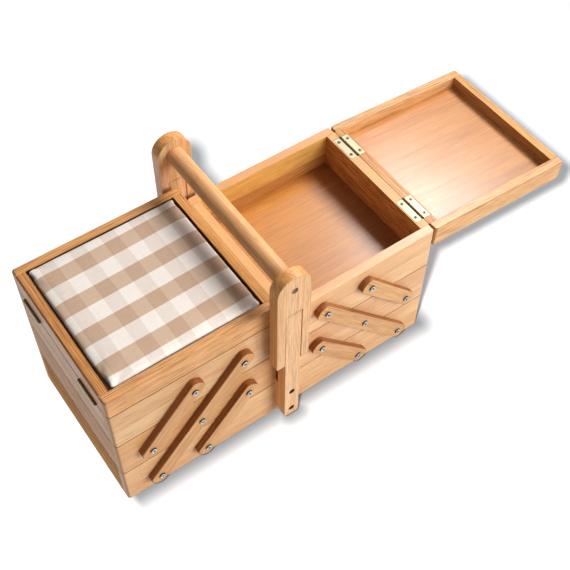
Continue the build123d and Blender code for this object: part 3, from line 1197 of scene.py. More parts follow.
# The right side's walls take a lighter copy of the long walls' bamboo: painted light, for the brighter light
# on that side
RIGHT_X = replace(WALL_X, name="bamboo_right_walls", light=(0.86, 0.565, 0.295), deep=(0.69, 0.385, 0.165),
                  rim=0.15, figure=0.7)
INSIDE_X = replace(WALL_X, name="bamboo_far_wall", light=(0.86, 0.53, 0.145), deep=(0.72, 0.39, 0.095),
                   rosy=(0.70, 0.36, 0.12), top_light_tone=(0.77, 0.38, 0.195), glue=0.8,
                   lower=Tint(5 * HALF_WALL + GLUE_START, (0.54, 0.215, 0.06)))
END_Y = Bamboo("bamboo_end_walls", Axis.Y, Axis.Z, HALF_WALL, GLUE_START,
               light=(0.86, 0.455, 0.17), deep=(0.66, 0.285, 0.078), rim=0.9, brow=0.95, figure=1.4,
               hair=0.9, glue=1.0, gloss=0.014)
TOP_END_Y = replace(END_Y, name="bamboo_upper_end_walls", light=(0.82, 0.48, 0.22), gloss=0.04)
BASE_END_Y = replace(END_Y, name="bamboo_base_end_walls", light=(0.98, 0.585, 0.285),
                     deep=(0.80, 0.395, 0.155), figure=1.1, hair=0.6, gloss=0.0)
WALL_Y = Bamboo("bamboo_right_end_walls", Axis.Y, Axis.Z, HALF_WALL, GLUE_START,
                light=(0.70, 0.365, 0.125), deep=(0.52, 0.22, 0.05), top_light_tone=(0.82, 0.52, 0.25),
                figure=1.9, hair=0.9, gloss=0.06)
FLOOR_X = Bamboo("bamboo_floors", Axis.X, Axis.Y, 0.019, 0.004, light=(0.68, 0.30, 0.062),
                 deep=(0.52, 0.19, 0.03), rosy=(0.62, 0.27, 0.09), contrast=0.5, glue=0.14, nodes=0.8,
                 roughness=0.28)
# The open tray's floor has the painted shadow of its right end wall along X
OPEN_FLOOR_X = replace(FLOOR_X, name="bamboo_open_floor", wall_shadow=WallShadow(0.150, 0.190, 0.68),
                       roughness=0.31, gloss=0.36)
PANEL_X = replace(FLOOR_X, name="bamboo_lid_panels", light=(0.66, 0.315, 0.115), deep=(0.52, 0.21, 0.055),
                  rosy=(0.64, 0.33, 0.17), roughness=0.23)
LID_X = Bamboo("bamboo_lid_rails", Axis.X, Axis.Z, 0.05, 0.19, light=(0.80, 0.43, 0.15),
               deep=(0.64, 0.29, 0.08), rim=0.5, figure=1.2, hair=0.6, streaks=1.0)
LID_Y = Bamboo("bamboo_lid_end_rails", Axis.Y, Axis.X, 0.006, 0.003, light=(0.74, 0.35, 0.10),
               deep=(0.58, 0.24, 0.055), glue=0.8, rim=0.5, figure=1.7, gloss=0.12)
FREE_Y = replace(LID_Y, name="bamboo_lid_free_rails", light=(0.84, 0.43, 0.14), deep=(0.66, 0.30, 0.085),
                 glue=0.4, gloss=0.06)
POST_Z = Bamboo("bamboo_uprights", Axis.Z, Axis.X, 0.0105, light=(0.85, 0.54, 0.265),
                deep=(0.68, 0.37, 0.14), rosy=(0.80, 0.46, 0.28), edge=(0.88, 0.40, 0.115),
                bore=Bore(0.0046, 0.285), glue=0.2, hair=0.5, streaks=0.8)
BAR_Y = Bamboo("bamboo_bar", Axis.Y, Axis.X, 0.011, light=(0.94, 0.52, 0.235), deep=(0.77, 0.37, 0.14),
               glue=0.1, contrast=0.6, rim=0.0, seam=0.0, roughness=0.42, gloss=0.10)
STEEL = Metal("zinc_steel", (0.46, 0.46, 0.47), (0.26, 0.26, 0.27), 0.28)
BRASS = Metal("polished_brass", (0.60, 0.54, 0.36), (0.48, 0.41, 0.25), 0.34, Slot.BRASS)
# Hinge screws, knuckles and pins are coloured dark: painted shade, for the dark slot and wells they lie in
SHADED_SCREW_STEEL = Metal("aged_screws", (0.17, 0.16, 0.11), (0.07, 0.065, 0.045), 0.34)
SHADED_BARREL = Metal("darkened_barrel", (0.10, 0.065, 0.03), (0.05, 0.035, 0.02), 0.5, Slot.BRASS)
# Painted shade: on the closed lid's rails inside the frame round the cushion, and on the folded lid's free
# rail under its panel
CLOSED_WELL = WellShade(PANEL_MID_X, PANEL_MID_Y, PANEL_HIGH[2], LID_TOP - 0.0010, 0.9)
OPEN_WELL = WellShade(-PANEL_MID_X, PANEL_MID_Y, 0.0, PANEL_LOW[2], 0.4)


def folded(finish: Bamboo, **changes: float) -> Bamboo:
    """A finish for the lid that is folded back: the same board, turned with its lid, its seam open, with any
    tones that are changed.
    """
    return replace(finish, name=finish.name + "_folded", turn=LID_TURN, seam=0.2, **changes)


# The folded lid's rails take lighter copies of the closed lid's tones: painted light, for the light that
# falls on the open lid
OPEN_LID_X = folded(LID_X, light=(0.81, 0.50, 0.22), deep=(0.66, 0.35, 0.13), gloss=0.12)
OPEN_FREE_Y = folded(replace(FREE_Y, well=OPEN_WELL), light=(0.88, 0.50, 0.20), deep=(0.72, 0.37, 0.12))
OPEN_LID = {LID_X: OPEN_LID_X, FREE_Y: OPEN_FREE_Y}


def link_finish(side: str) -> Bamboo:
    """Bamboo with its grain along one side's links.

    Args:
        side: left or right.

    Returns:
        The finish.
    """
    lean = -LINK_LEAN if side == "right" else LINK_LEAN
    return Bamboo(f"bamboo_{side}_links", Axis.Z, Axis.X, 0.03, 0.011, light=(0.69, 0.375, 0.145),
                  deep=(0.53, 0.245, 0.068), rosy=(0.63, 0.31, 0.15), edge=(0.34, 0.105, 0.028),
                  contrast=0.7, hair=0.5, turn=Turn(lean))


@dataclass
class Base:
    """The fixed bottom tier."""

    bench: Bench
    corner: float = 0.004
    foot_rim: float = 0.0012
    rim: float = 0.0005               # rim in the seam
    end_rim: float = 0.0015           # rim in the seam, on the end boards

    def build(self) -> None:
        """Builds and dresses its walls and floor."""
        low, high = corners("base_front_wall")
        front = board(low, high, (0, -1), self.corner, self.foot_rim, self.rim)
        for name, skin in (("front", front), ("back", front.to_back())):
            self.bench.make(f"base_{name}_board", skin, BASE_X, "root", f"base_{name}_wall")
        thickness = high[1] - low[1]
        low, high = corners("base_end_walls")
        low[0] = high[0] - thickness
        end = rail(low, high, (1, 0), self.foot_rim, self.end_rim)
        ends = joined([end, end.mirrored()])
        self.bench.make("base_end_boards", ends, BASE_END_Y, "root", "base_end_walls")
        self.bench.make("base_floor_panel", panel(*corners("base_floor")), FLOOR_X, "root", "base_floor")


@dataclass
class Tray:
    """One of the four trays that the links carry."""

    bench: Bench
    side: str
    tier: str
    corner: float = 0.004
    seam_rim: float = 0.0015          # lower rim, which opens the seam below it
    end_seam_rim: float = 0.0007      # the same on the end boards
    rim: float = 0.0005               # rim under another tier
    end_rim: float = 0.0015           # the same on the end boards
    hinge_rim: float = 0.0001         # rim that the open lid lies against
    mouth_rim: float = 0.0008         # rim round the mouth

    def build(self) -> None:
        """Builds and dresses its walls and floor."""
        name = f"{self.side}_{self.tier}_tray"
        inward = INWARD[self.side]
        low, high = corners(f"{name}_front")
        upper = self.mouth_rim if self.tier == "top" else self.rim
        front = board(low, high, (0, -1), self.corner, self.seam_rim, upper)
        open_tray = (self.side, self.tier) == ("right", "top")
        long_wall = RIGHT_X if self.side == "right" else WALL_X if self.tier == "top" else MIDDLE_X
        far_wall = INSIDE_X if open_tray else long_wall
        end_wall = WALL_Y if open_tray else TOP_END_Y if self.tier == "top" else END_Y
        self.piece(name, "front", front, long_wall)
        self.piece(name, "back", front.to_back(), far_wall)
        for part, way in (("outer_end", -inward), ("inner_end", inward)):
            low, high = corners(f"{name}_{part}")
            low[2] = corners(f"{name}_front")[0][2]
            meets_lid = open_tray and part == "outer_end"
            rim = self.hinge_rim if meets_lid else upper if part == "inner_end" else self.end_rim
            self.piece(name, part, rail(low, high, (way, 0), self.end_seam_rim, rim), end_wall)
        floor = OPEN_FLOOR_X if open_tray else FLOOR_X
        self.piece(name, "floor", panel(*corners(f"{name}_floor")), floor)

    def piece(self, name: str, part: str, skin: Skin, finish: Bamboo) -> None:
        """Makes one board of the tray.

        Args:
            name: the tray's body.
            part: which board.
            skin: its surface.
            finish: its finish.
        """
        hinged = self.tier == "top" and part == "outer_end"
        seats = Hinges(self.bench, self.side).seats(on_lid=False) if hinged else ()
        self.bench.make(f"{name}_{part}_board", skin, finish, name, f"{name}_{part}", cuts=seats)


@dataclass
class Hinges:
    """The two brass butt hinges of one side."""

    bench: Bench
    side: str
    half: float = 0.019               # half a leaf's length
    thickness: float = 0.0012
    knuckle_radius: float = 0.0016
    pin_radius: float = 0.00075
    gap: float = 0.0005               # air between a leaf and the wood round it
    plate_corner: float = 0.0012
    plate_rim: float = 0.00015
    inner_corner: float = 0.0003      # of a plate, beside its knuckles
    room_corner: float = 0.0002       # of the room for the knuckles
    open_corner: float = 0.001        # of a room, outside the wood
    knuckle_ease: float = 0.00025
    pin_tip: tuple[float, float] = (0.7, 0.0003)      # a pin's end: share of its radius, and length
    pin_proud: float = 0.0001         # how far a pin stands out of its knuckles
    screw_spread: float = 0.0256      # between a leaf's two screws
    screw_inset: float = 0.0042       # from a leaf's free edge to its screws
    knuckle_gap: float = 0.0003
    head: ScrewHead = ScrewHead(0.0023, 0.0004, 0.0001, 0.0017, 0.0005, 0.0006, 0.0003)
    head_sink: float = 0.0003
    well_play: float = 0.00025        # air round a screw's head
    well_depth: float = 0.0009
    lip: float = 0.00085              # how far the wood's edge stands out beside the hinges
    lip_height: float = 0.003
    room: float = 0.01                # how far a cut for a leaf runs out of the wood

    def __post_init__(self) -> None:
        """Reads the hinges' places from the frame: the closed left side's, turned to +X."""
        low, high = corners("left_hinge_tray_leaves")
        wall_low, wall_high = corners("left_top_tray_outer_end")
        middle = high[1] - self.half
        self.middles = (-middle, middle)
        self.leaf_start = -high[0]
        self.leaf_end = HINGE_X - self.knuckle_radius - self.knuckle_gap
        self.wall, self.wall_end = -wall_low[0], -wall_low[1]
        self.low, self.high = wall_high[2] - self.thickness, wall_high[2]

    def seats(self, on_lid: bool) -> list[Skin]:
        """Rooms for the leaves and their knuckles.

        Args:
            on_lid: whether they are cut in the lid's rail, not in the tray's wall.

        Returns:
            Two skins a hinge, on their own side.
        """
        plate = (self.leaf_start - self.gap, self.low, self.plate_corner)
        knuckle = (self.leaf_end, HINGE_Z - self.knuckle_radius - self.knuckle_gap, self.room_corner)
        reach = self.half + self.gap
        rooms = []
        for middle in self.middles:
            for start, floor, corner in (plate, knuckle):
                plan = rectangle(start, middle - reach, self.wall + self.room, middle + reach)
                outline = rounded_outline(plan, [corner, self.open_corner, self.open_corner, corner])
                rooms.append(self.placed(prism(outline, floor, self.high + self.room, 0.0, 0.0, 1), on_lid))
        return rooms

    def build(self) -> None:
        """Builds leaves, knuckles, screws and lips on either body, then the pins."""
        for on_lid, body in ((False, f"{self.side}_top_tray"), (True, f"{self.side}_lid")):
            self.leaves(on_lid, body)
            if self.side == "right":
                self.lips(on_lid, folded(LID_Y) if on_lid else WALL_Y, body)
        self.pins()

    def leaves(self, on_lid: bool, body: str) -> None:
        """Builds the plates, knuckles and screws of both hinges on one body.

        Args:
            on_lid: whether the body is the lid.
            body: the body's name.
        """
        plates, barrels, screws, wells = [], [], [], []
        third = self.half / 3
        radius, bottom = self.head.radius + self.well_play, self.high - self.well_depth
        well = lathe([(radius, bottom), (radius, self.high + 0.001)], 28)
        for number, middle in enumerate(self.middles):
            plan = rectangle(self.leaf_start, middle - self.half, self.leaf_end, middle + self.half)
            outline = rounded_outline(plan, [self.plate_corner, self.inner_corner, self.inner_corner,
                                             self.plate_corner])
            plates.append(prism(outline, self.low, self.high, self.plate_rim, self.plate_rim, 2))
            for start, end in [(-third, third)] if on_lid else [(-self.half, -third), (third, self.half)]:
                barrels.append(self.knuckle(middle + start + self.knuckle_gap / 2,
                                            middle + end - self.knuckle_gap / 2))
            for way in (-1, 1):
                x, y = self.leaf_start + self.screw_inset, middle + way * self.screw_spread / 2
                head = replace(self.head, turn=0.4 + 0.9 * number + way).skin()
                screws.append(head.moved((x, y, self.high - self.head_sink)))
                wells.append(well.moved((x, y, 0.0)))
        node = f"{self.side}_hinge_{'lid' if on_lid else 'tray'}_leaves"
        name = node.removesuffix("leaves")
        plate, well, barrel, head = (self.placed(joined(skins), on_lid)
                                     for skins in (plates, wells, barrels, screws))
        self.bench.make(name + "plates", plate, BRASS, body, node, cuts=[well])
        self.bench.make(name + "knuckles", barrel, SHADED_BARREL, body)
        self.bench.make(name + "screws", head, SHADED_SCREW_STEEL, body)

    def knuckle(self, start: float, end: float) -> Skin:
        """A knuckle with eased ends, and the web that carries it.

        Args:
            start: its lower end along Y.
            end: its upper end.

        Returns:
            Both as one skin.
        """
        radius, ease = self.knuckle_radius, self.knuckle_ease
        half = (end - start) / 2
        barrel = along_y(lathe([(radius - ease, -half), (radius, -half + ease),
                                (radius, half - ease), (radius - ease, half)], 28))
        web = rounded_outline(rectangle(self.leaf_end - 0.0002, start, HINGE_X, end), [0.0001] * 4, 1)
        return joined([barrel.moved((HINGE_X, (start + end) / 2, HINGE_Z)),
                       prism(web, self.low, self.high, 0.0001, 0.0001, 1)])

    def lips(self, on_lid: bool, finish: Bamboo, body: str) -> None:
        """Builds a thin edge between and beside the hinges, which nearly closes the open lid's gap.

        Args:
            on_lid: whether it stands on the lid's rail, not on the tray's wall.
            finish: its finish.
            body: the body it moves with.
        """
        reach, end = self.half + self.gap, self.wall_end - 0.0002
        starts = [-end, *(middle + reach for middle in self.middles)]
        stops = [*(middle - reach for middle in self.middles), end]
        skins = []
        for start, stop in zip(starts, stops):
            low = (self.wall - 0.001, start, self.high - self.lip_height)
            high = (self.wall + self.lip, stop, self.high + 0.00002)
            skins.append(rail(low, high, (1, 0), 0.0008, 0.0002, 0.00005))
        name = f"{self.side}_{'lid' if on_lid else 'tray'}_hinge_lip"
        self.bench.make(name, self.placed(joined(skins), on_lid), finish, body)

    def pins(self) -> None:
        """The pins that the knuckles turn on."""
        radius, end = self.pin_radius, self.half + self.pin_proud
        tip, length = radius * self.pin_tip[0], self.pin_tip[1]
        pin = along_y(lathe([(tip, -end), (radius, -end + length), (radius, end - length), (tip, end)], 16))
        pins = joined(pin.moved((HINGE_X, middle, HINGE_Z)) for middle in self.middles)
        self.bench.make(f"{self.side}_hinge_pin_rods", self.placed(pins, on_lid=False), SHADED_BARREL,
                        f"{self.side}_top_tray", f"{self.side}_hinge_pins")

    def placed(self, skin: Skin, on_lid: bool) -> Skin:
        """Takes a skin from the right side's tray to its own side, and to the lid where asked.

        Args:
            skin: a skin made for the right side's tray.
            on_lid: whether it belongs to the lid.

        Returns:
            The skin in its own place.
        """
        if on_lid:
            skin = skin.flipped((1.0, 1.0, -1.0)).moved((0.0, 0.0, 2 * HINGE_Z))
            if self.side == "right":
                return skin.turned(LID_TURN)
        return skin.on_side(self.side)


@dataclass
class Lid:
    """A framed lid with a padded top."""

    bench: Bench
    side: str
    corner: float = 0.004
    rim: float = 0.003
    seam_rim: float = 0.0015
    hinge_rim: float = 0.0001

    def build(self) -> None:
        """Builds and dresses its rails, panel and cushion. All are made closed, on the left."""
        low, high = corners("left_lid_front_rail")
        front = board(low, high, (0, -1), self.corner, self.seam_rim, self.rim)
        self.piece("front_rail", front, LID_X)
        self.piece("back_rail", front.to_back(), LID_X)
        hinge_rim = self.hinge_rim if self.side == "right" else self.seam_rim
        for part, way, seam_rim, finish in (("hinge_rail", -1, hinge_rim, LID_Y),
                                            ("free_rail", 1, self.seam_rim, FREE_Y)):
            low, high = corners(f"left_lid_{part}")
            self.piece(part, rail(low, high, (way, 0), seam_rim, self.rim), finish)
        self.piece("panel", panel(PANEL_LOW, PANEL_HIGH), PANEL_X)
        Cushion(self.bench, self.side).build()

    def piece(self, part: str, skin: Skin, finish: Bamboo) -> None:
        """Makes one board of the lid, on its own side.

        Args:
            part: which board.
            skin: its surface on the closed left lid.
            finish: its finish there.
        """
        node = f"{self.side}_lid_{part}"
        if self.side == "right":
            skin = skin.mirrored().turned(LID_TURN)
            finish = OPEN_LID.get(finish) or folded(finish)
        elif part != "panel":
            finish = replace(finish, name=finish.name + "_closed", well=CLOSED_WELL)
        seats = Hinges(self.bench, self.side).seats(on_lid=True) if part == "hinge_rail" else ()
        self.bench.make(f"{node}_board", skin, finish, f"{self.side}_lid", node, cuts=seats)


@dataclass
class Cushion:
    """A lid's padded top: foam under gingham, pinned down along its edges."""

    bench: Bench
    side: str
    slack: float = 0.0012             # how much smaller the pad starts
    cap: float = 0.004                # the most that a point may swell
    spill: tuple[float, float] = (0.0004, 0.0018)     # how far it fills the air round it
    corner: float = 0.003
    round_edge: float = 0.0028
    start_drop: float = 0.0015        # how far below its room's top the pad starts
    crown: float = 0.0012
    highest: float = 0.0035           # the most that the cloth stands above its room
    voxel: float = 0.0036
    frames: int = 20                  # how long the cloth swells
    held: float = 0.35                # share of the height that is pinned down
    press: float = 0.75               # how far the swollen top is pressed to its wanted height
    pull: tuple[float, float] = (0.0003, 0.0004)      # how far the edges pull in, along X and Y
    slip: tuple[float, float] = (0.0001, 0.006)       # how far the hinge edge lies out, and more in front
    row_rise: float = 0.0045          # how far the rows rise towards the free rail
    row_fan: float = 0.36             # from the middle line to where a row's rise would double
    edge_step: float = 0.006          # from one point to the next along the edge, at first
    smooth_to: ClassVar[float] = 60.0                 # degrees past which the cloth's edges stay sharp

    def build(self) -> None:
        """Builds the pad on the closed left lid, then takes it to its own side."""
        low, high = corners("left_lid_cushion")
        piece = self.bench.mesh(f"{self.side}_lid_gingham_pad", self.pad(low, high), self.smooth_to)
        self.even_out(piece)
        self.inflate(piece, low, high)
        self.settle(piece, low, high)
        self.mark_weave(piece)
        if self.side == "right":
            self.take_right(piece)
        smooth = piece.modifiers.new("even", "SUBSURF")
        smooth.levels = smooth.render_levels = 1
        self.bench.fit(piece, Gingham(LID_TOP), f"{self.side}_lid", f"{self.side}_lid_cushion")

    def pad(self, low: np.ndarray, high: np.ndarray) -> Skin:
        """A slab with a rounded upper edge, in rings from under its middle, round its edge, to its top.

        A flat ring shrinks its outline towards the middle by a share. On the edge of radius r, at an
        angle a, a ring lies r * (1 - cos a) inside the outline and r * (1 - sin a) below the top.

        Args:
            low: lowest corner of the room.
            high: highest corner of the room.

        Returns:
            The closed skin.
        """
        outline = self.outline(*(low[:2] + self.slack), *(high[:2] - self.slack))
        middle, normal, top = outline.mean(0), outward(outline), high[2] - self.start_drop

        def ring(flat: np.ndarray, level: float) -> np.ndarray:
            """An outline at a height."""
            return np.column_stack([flat, np.full(len(flat), level)])

        shares = [*np.linspace(0.02, 0.97, 22), 1.0]
        under = [ring(middle + (outline - middle) * share, low[2]) for share in shares]
        edge = [ring(outline - normal * self.round_edge * (1 - math.cos(angle)),
                     top - self.round_edge + self.round_edge * math.sin(angle))
                for angle in np.linspace(0, math.pi / 2, 6)]
        inner = outline - normal * self.round_edge
        over = [ring(middle + (inner - middle) * share, top) for share in shares[-2::-1]]
        return tube(np.stack(under + edge + over))

    def outline(self, x0: float, y0: float, x1: float, y1: float) -> np.ndarray:
        """The pad's outline: a rectangle with tight corners, its sides cut into even steps.

        Args:
            x0: least x.
            y0: least y.
            x1: greatest x.
            y1: greatest y.

        Returns:
            Points, inside on the left.
        """
        base = rounded_outline(rectangle(x0, y0, x1, y1), [self.corner] * 4, 4)
        points = []
        for here, there in zip(base, np.roll(base, -1, 0)):
            steps = max(1, int(np.linalg.norm(there - here) / self.edge_step))
            points.append(here + (there - here) * np.linspace(0, 1, steps, endpoint=False)[:, None])
        return np.concatenate(points)

    def even_out(self, piece: bpy.types.Object) -> None:
        """Gives the pad an even mesh of small squares.

        Args:
            piece: the pad.
        """
        remesh = piece.modifiers.new("even_cloth", "REMESH")
        remesh.mode = "VOXEL"
        remesh.voxel_size = self.voxel
        apply_modifiers(piece)

    def inflate(self, piece: bpy.types.Object, low: np.ndarray, high: np.ndarray) -> None:
        """Swells the pad as pressed cloth over foam, held along its underside.

        Args:
            piece: the pad.
            low: lowest corner of its room.
            high: highest corner.
        """
        start = points_of(piece.data)
        held = piece.vertex_groups.new(name="held")
        pinned = np.flatnonzero(start[:, 2] < low[2] + self.held * (high[2] - low[2]))
        held.add(pinned.tolist(), 1.0, "ADD")
        cloth = piece.modifiers.new("cloth", "CLOTH")
        settings = cloth.settings
        settings.quality = 6
        settings.mass = 0.25
        settings.tension_stiffness = settings.compression_stiffness = 12.0
        settings.bending_stiffness = 1.2
        settings.use_pressure = True
        settings.uniform_pressure_force = 4.0
        settings.vertex_group_mass = held.name
        settings.effector_weights.gravity = 0.0
        cloth.collision_settings.use_collision = False
        scene = bpy.context.scene
        cloth.point_cache.frame_start, cloth.point_cache.frame_end = 1, self.frames
        for number in range(1, self.frames + 1):
            scene.frame_set(number)
        shown = piece.evaluated_get(bpy.context.evaluated_depsgraph_get())
        shift = points_of(shown.data) - start
        length = np.maximum(np.linalg.norm(shift, axis=1, keepdims=True), 1e-9)
        piece.modifiers.clear()
        piece.vertex_groups.clear()
        scene.frame_set(1)
        move_points(piece.data, start + shift * np.minimum(1.0, self.cap / length))

    def settle(self, piece: bpy.types.Object, low: np.ndarray, high: np.ndarray) -> None:
        """Presses the pad into its frame, and lets its edges pull in between the corners.

        With u and v from -1 to 1 across the room, the cloth's top stands at high + crown * (1 - u^2) *
        (1 - v^2), less r - sqrt(r^2 - (r - d)^2) at a distance d inside the limit, on the rolled edge of
        radius r; the swollen top goes most of the way there. Each edge then moves in by a high power of
        u or v, so that only the edge moves, and most half way along it, in small waves.

        Args:
            piece: the pad.
            low: lowest corner of its room.
            high: highest corner.
        """
        points = points_of(piece.data)
        middle, half = (low + high)[:2] / 2, (high - low)[:2] / 2
        limit = half + self.spill
        reach = np.abs(points[:, :2] - middle).max(0)
        points[:, :2] = middle + (points[:, :2] - middle) * (limit / reach)
        u, v = ((points[:, :2] - middle) / half).T
        hump_u, hump_v = np.clip(1 - u ** 2, 0, 1), np.clip(1 - v ** 2, 0, 1)
        away = (limit - np.abs(points[:, :2] - middle)).min(1)
        rolled = np.clip(self.round_edge - away, 0.0, self.round_edge)
        wanted = high[2] + self.crown * hump_u * hump_v - self.round_edge
        wanted = wanted + np.sqrt(self.round_edge ** 2 - rolled ** 2)
        lift = np.clip((points[:, 2] - low[2]) / (high[2] - low[2]) * 2.5 - 1.25, 0.0, 1.0)
        points[:, 2] += (wanted - points[:, 2]) * lift * self.press
        wave = 0.25 * np.sin(v * 9.0 + 1.0) + 0.2 * np.sin(v * 17.0)
        slip = (self.slip[0] + self.slip[1] * np.clip(-v - 0.55, 0, 1)) * (u < 0)
        points[:, 0] -= np.sign(u) * np.abs(u) ** 12 * self.pull[0] * hump_v * (1 + wave)
        points[:, 0] += np.abs(u) ** 10 * slip
        points[:, 1] -= np.sign(v) * np.abs(v) ** 12 * self.pull[1] * hump_u
        points[:, 2] = np.minimum(points[:, 2], high[2] + self.highest)
        move_points(piece.data, points)

    def mark_weave(self, piece: bpy.types.Object) -> None:
        """Stores each point's place on the cloth: across, along and up, in metres.

        The cloth lies a little askew: with t from 0 at the hinge to 1 at the free rail, its rows stand
        row_rise * t^2 * (1 + y / row_fan) further back.

        Args:
            piece: the pad.
        """
        points = points_of(piece.data)
        t = (points[:, 0] - points[:, 0].min()) / np.ptp(points[:, 0])
        points[:, 1] -= self.row_rise * t ** 2 * (1.0 + points[:, 1] / self.row_fan)
        weave = piece.data.attributes.new("weave", "FLOAT_VECTOR", "POINT")
        weave.data.foreach_set("vector", points.ravel())

    @staticmethod
    def take_right(piece: bpy.types.Object) -> None:
        """Mirrors the pad to the right and folds it back with its lid.

        Args:
            piece: the pad.
        """
        skin = Skin(points_of(piece.data) * (-1, 1, 1), np.empty((0, 4), int), []).turned(LID_TURN)
        move_points(piece.data, skin.points)
        piece.data.flip_normals()


@dataclass
class Links:
    """The six pairs of links."""

    bench: Bench
    width: float = 0.021
    thickness: float = 0.0085         # less than from a link's face to the wall, for the air behind it
    end_radius: float = 0.0143
    rim: float = 0.0011
    steps: int = 75                   # points along either edge
    blend: float = 16.0               # how sharply a bar's side meets its end arc

    def outline(self, length: float) -> np.ndarray:
        """A link's outline along X, its pivots at 0 and at its length.

        The half width is the smaller of the bar's and the end arc's, blended as
        (a^-p + b^-p)^(-1/p) so that they meet in a small rounding.

        Args:
            length: from the first pivot to the last.

        Returns:
            Points, inside on the left.
        """
        turn = np.linspace(0.0, math.pi, self.steps)
        along = length / 2 - (length / 2 + self.end_radius) * np.cos(turn)
        past_pivot = np.maximum(np.abs(along - length / 2) - length / 2, 0.0)
        arc = np.sqrt(np.maximum(self.end_radius ** 2 - past_pivot ** 2, 1e-14))
        half = ((self.width / 2) ** -self.blend + arc ** -self.blend) ** (-1.0 / self.blend)
        lower, upper = np.stack([along, -half], -1), np.stack([along, half], -1)
        return np.concatenate([lower, upper[-2:0:-1]])

    def build(self) -> None:
        """Builds and dresses every pair."""
        rows = {"long": (LONG_PIVOT, 2), "lower": (JOINTS["right_lower_links_swing"]["pos_m"], 1),
                "upper": (JOINTS["right_upper_links_swing"]["pos_m"], 1)}
        step = math.hypot(LINK_RUN, LINK_RISE)
        cos, sin = -LINK_RUN / step, LINK_RISE / step
        lean = np.array([[cos, 0.0, -sin], [0.0, 1.0, 0.0], [sin, 0.0, cos]])
        for name, (pivot, spans) in rows.items():
            face = corners(f"right_{name}_links")[0][1]
            bar = facing_front(prism(self.outline(spans * step), 0.0, self.thickness, 0.0003, self.rim))
            front = bar.mapped(lean).moved((pivot[0], face + self.thickness, pivot[2]))
            for side in INWARD:
                node = f"{side}_{name}_links"
                pair = front.front_and_back().on_side(side)
                self.bench.make(f"{node}_bars", pair, link_finish(side), node, node)


@dataclass
class Screws:
    """Pan-head screws that hold the links."""

    bench: Bench
    sink: float = 0.0002              # how far a head is let into its link

    def build(self) -> None:
        """Builds one piece for each node of pivot screws."""
        short_low, short_high = (np.array(JOINTS[f"right_{row}_links_swing"]["pos_m"])
                                 for row in ("lower", "upper"))
        rows = {"mid_tray": [LONG_PIVOT + LINK_STEP, short_low + LINK_STEP, short_high],
                "top_tray": [LONG_PIVOT + 2 * LINK_STEP, short_high + LINK_STEP]}
        for side in INWARD:
            for tier, spots in rows.items():
                node = f"{side}_{tier}_pivot_screws"
                heads = self.heads(spots).on_side(side)
                self.bench.make(f"{node}_heads", heads, STEEL, f"{side}_{tier}", node)
        heads = self.heads([LONG_PIVOT, short_low])
        self.bench.make("base_pivot_screws_heads", joined([heads, heads.mirrored()]), STEEL, "root",
                        "base_pivot_screws")

    def heads(self, spots: Sequence[np.ndarray]) -> Skin:
        """Heads at some pivots, front and back, each with its recess turned another way.

        Args:
            spots: the pivots.

        Returns:
            All the heads as one skin.
        """
        face = corners("right_long_links")[0][1]
        heads = []
        for number, spot in enumerate(spots):
            head = facing_front(ScrewHead(turn=0.35 + 0.7 * number + 3.0 * spot[2]).skin())
            heads.append(head.moved((spot[0], face - self.sink, spot[2])).front_and_back())
        return joined(heads)


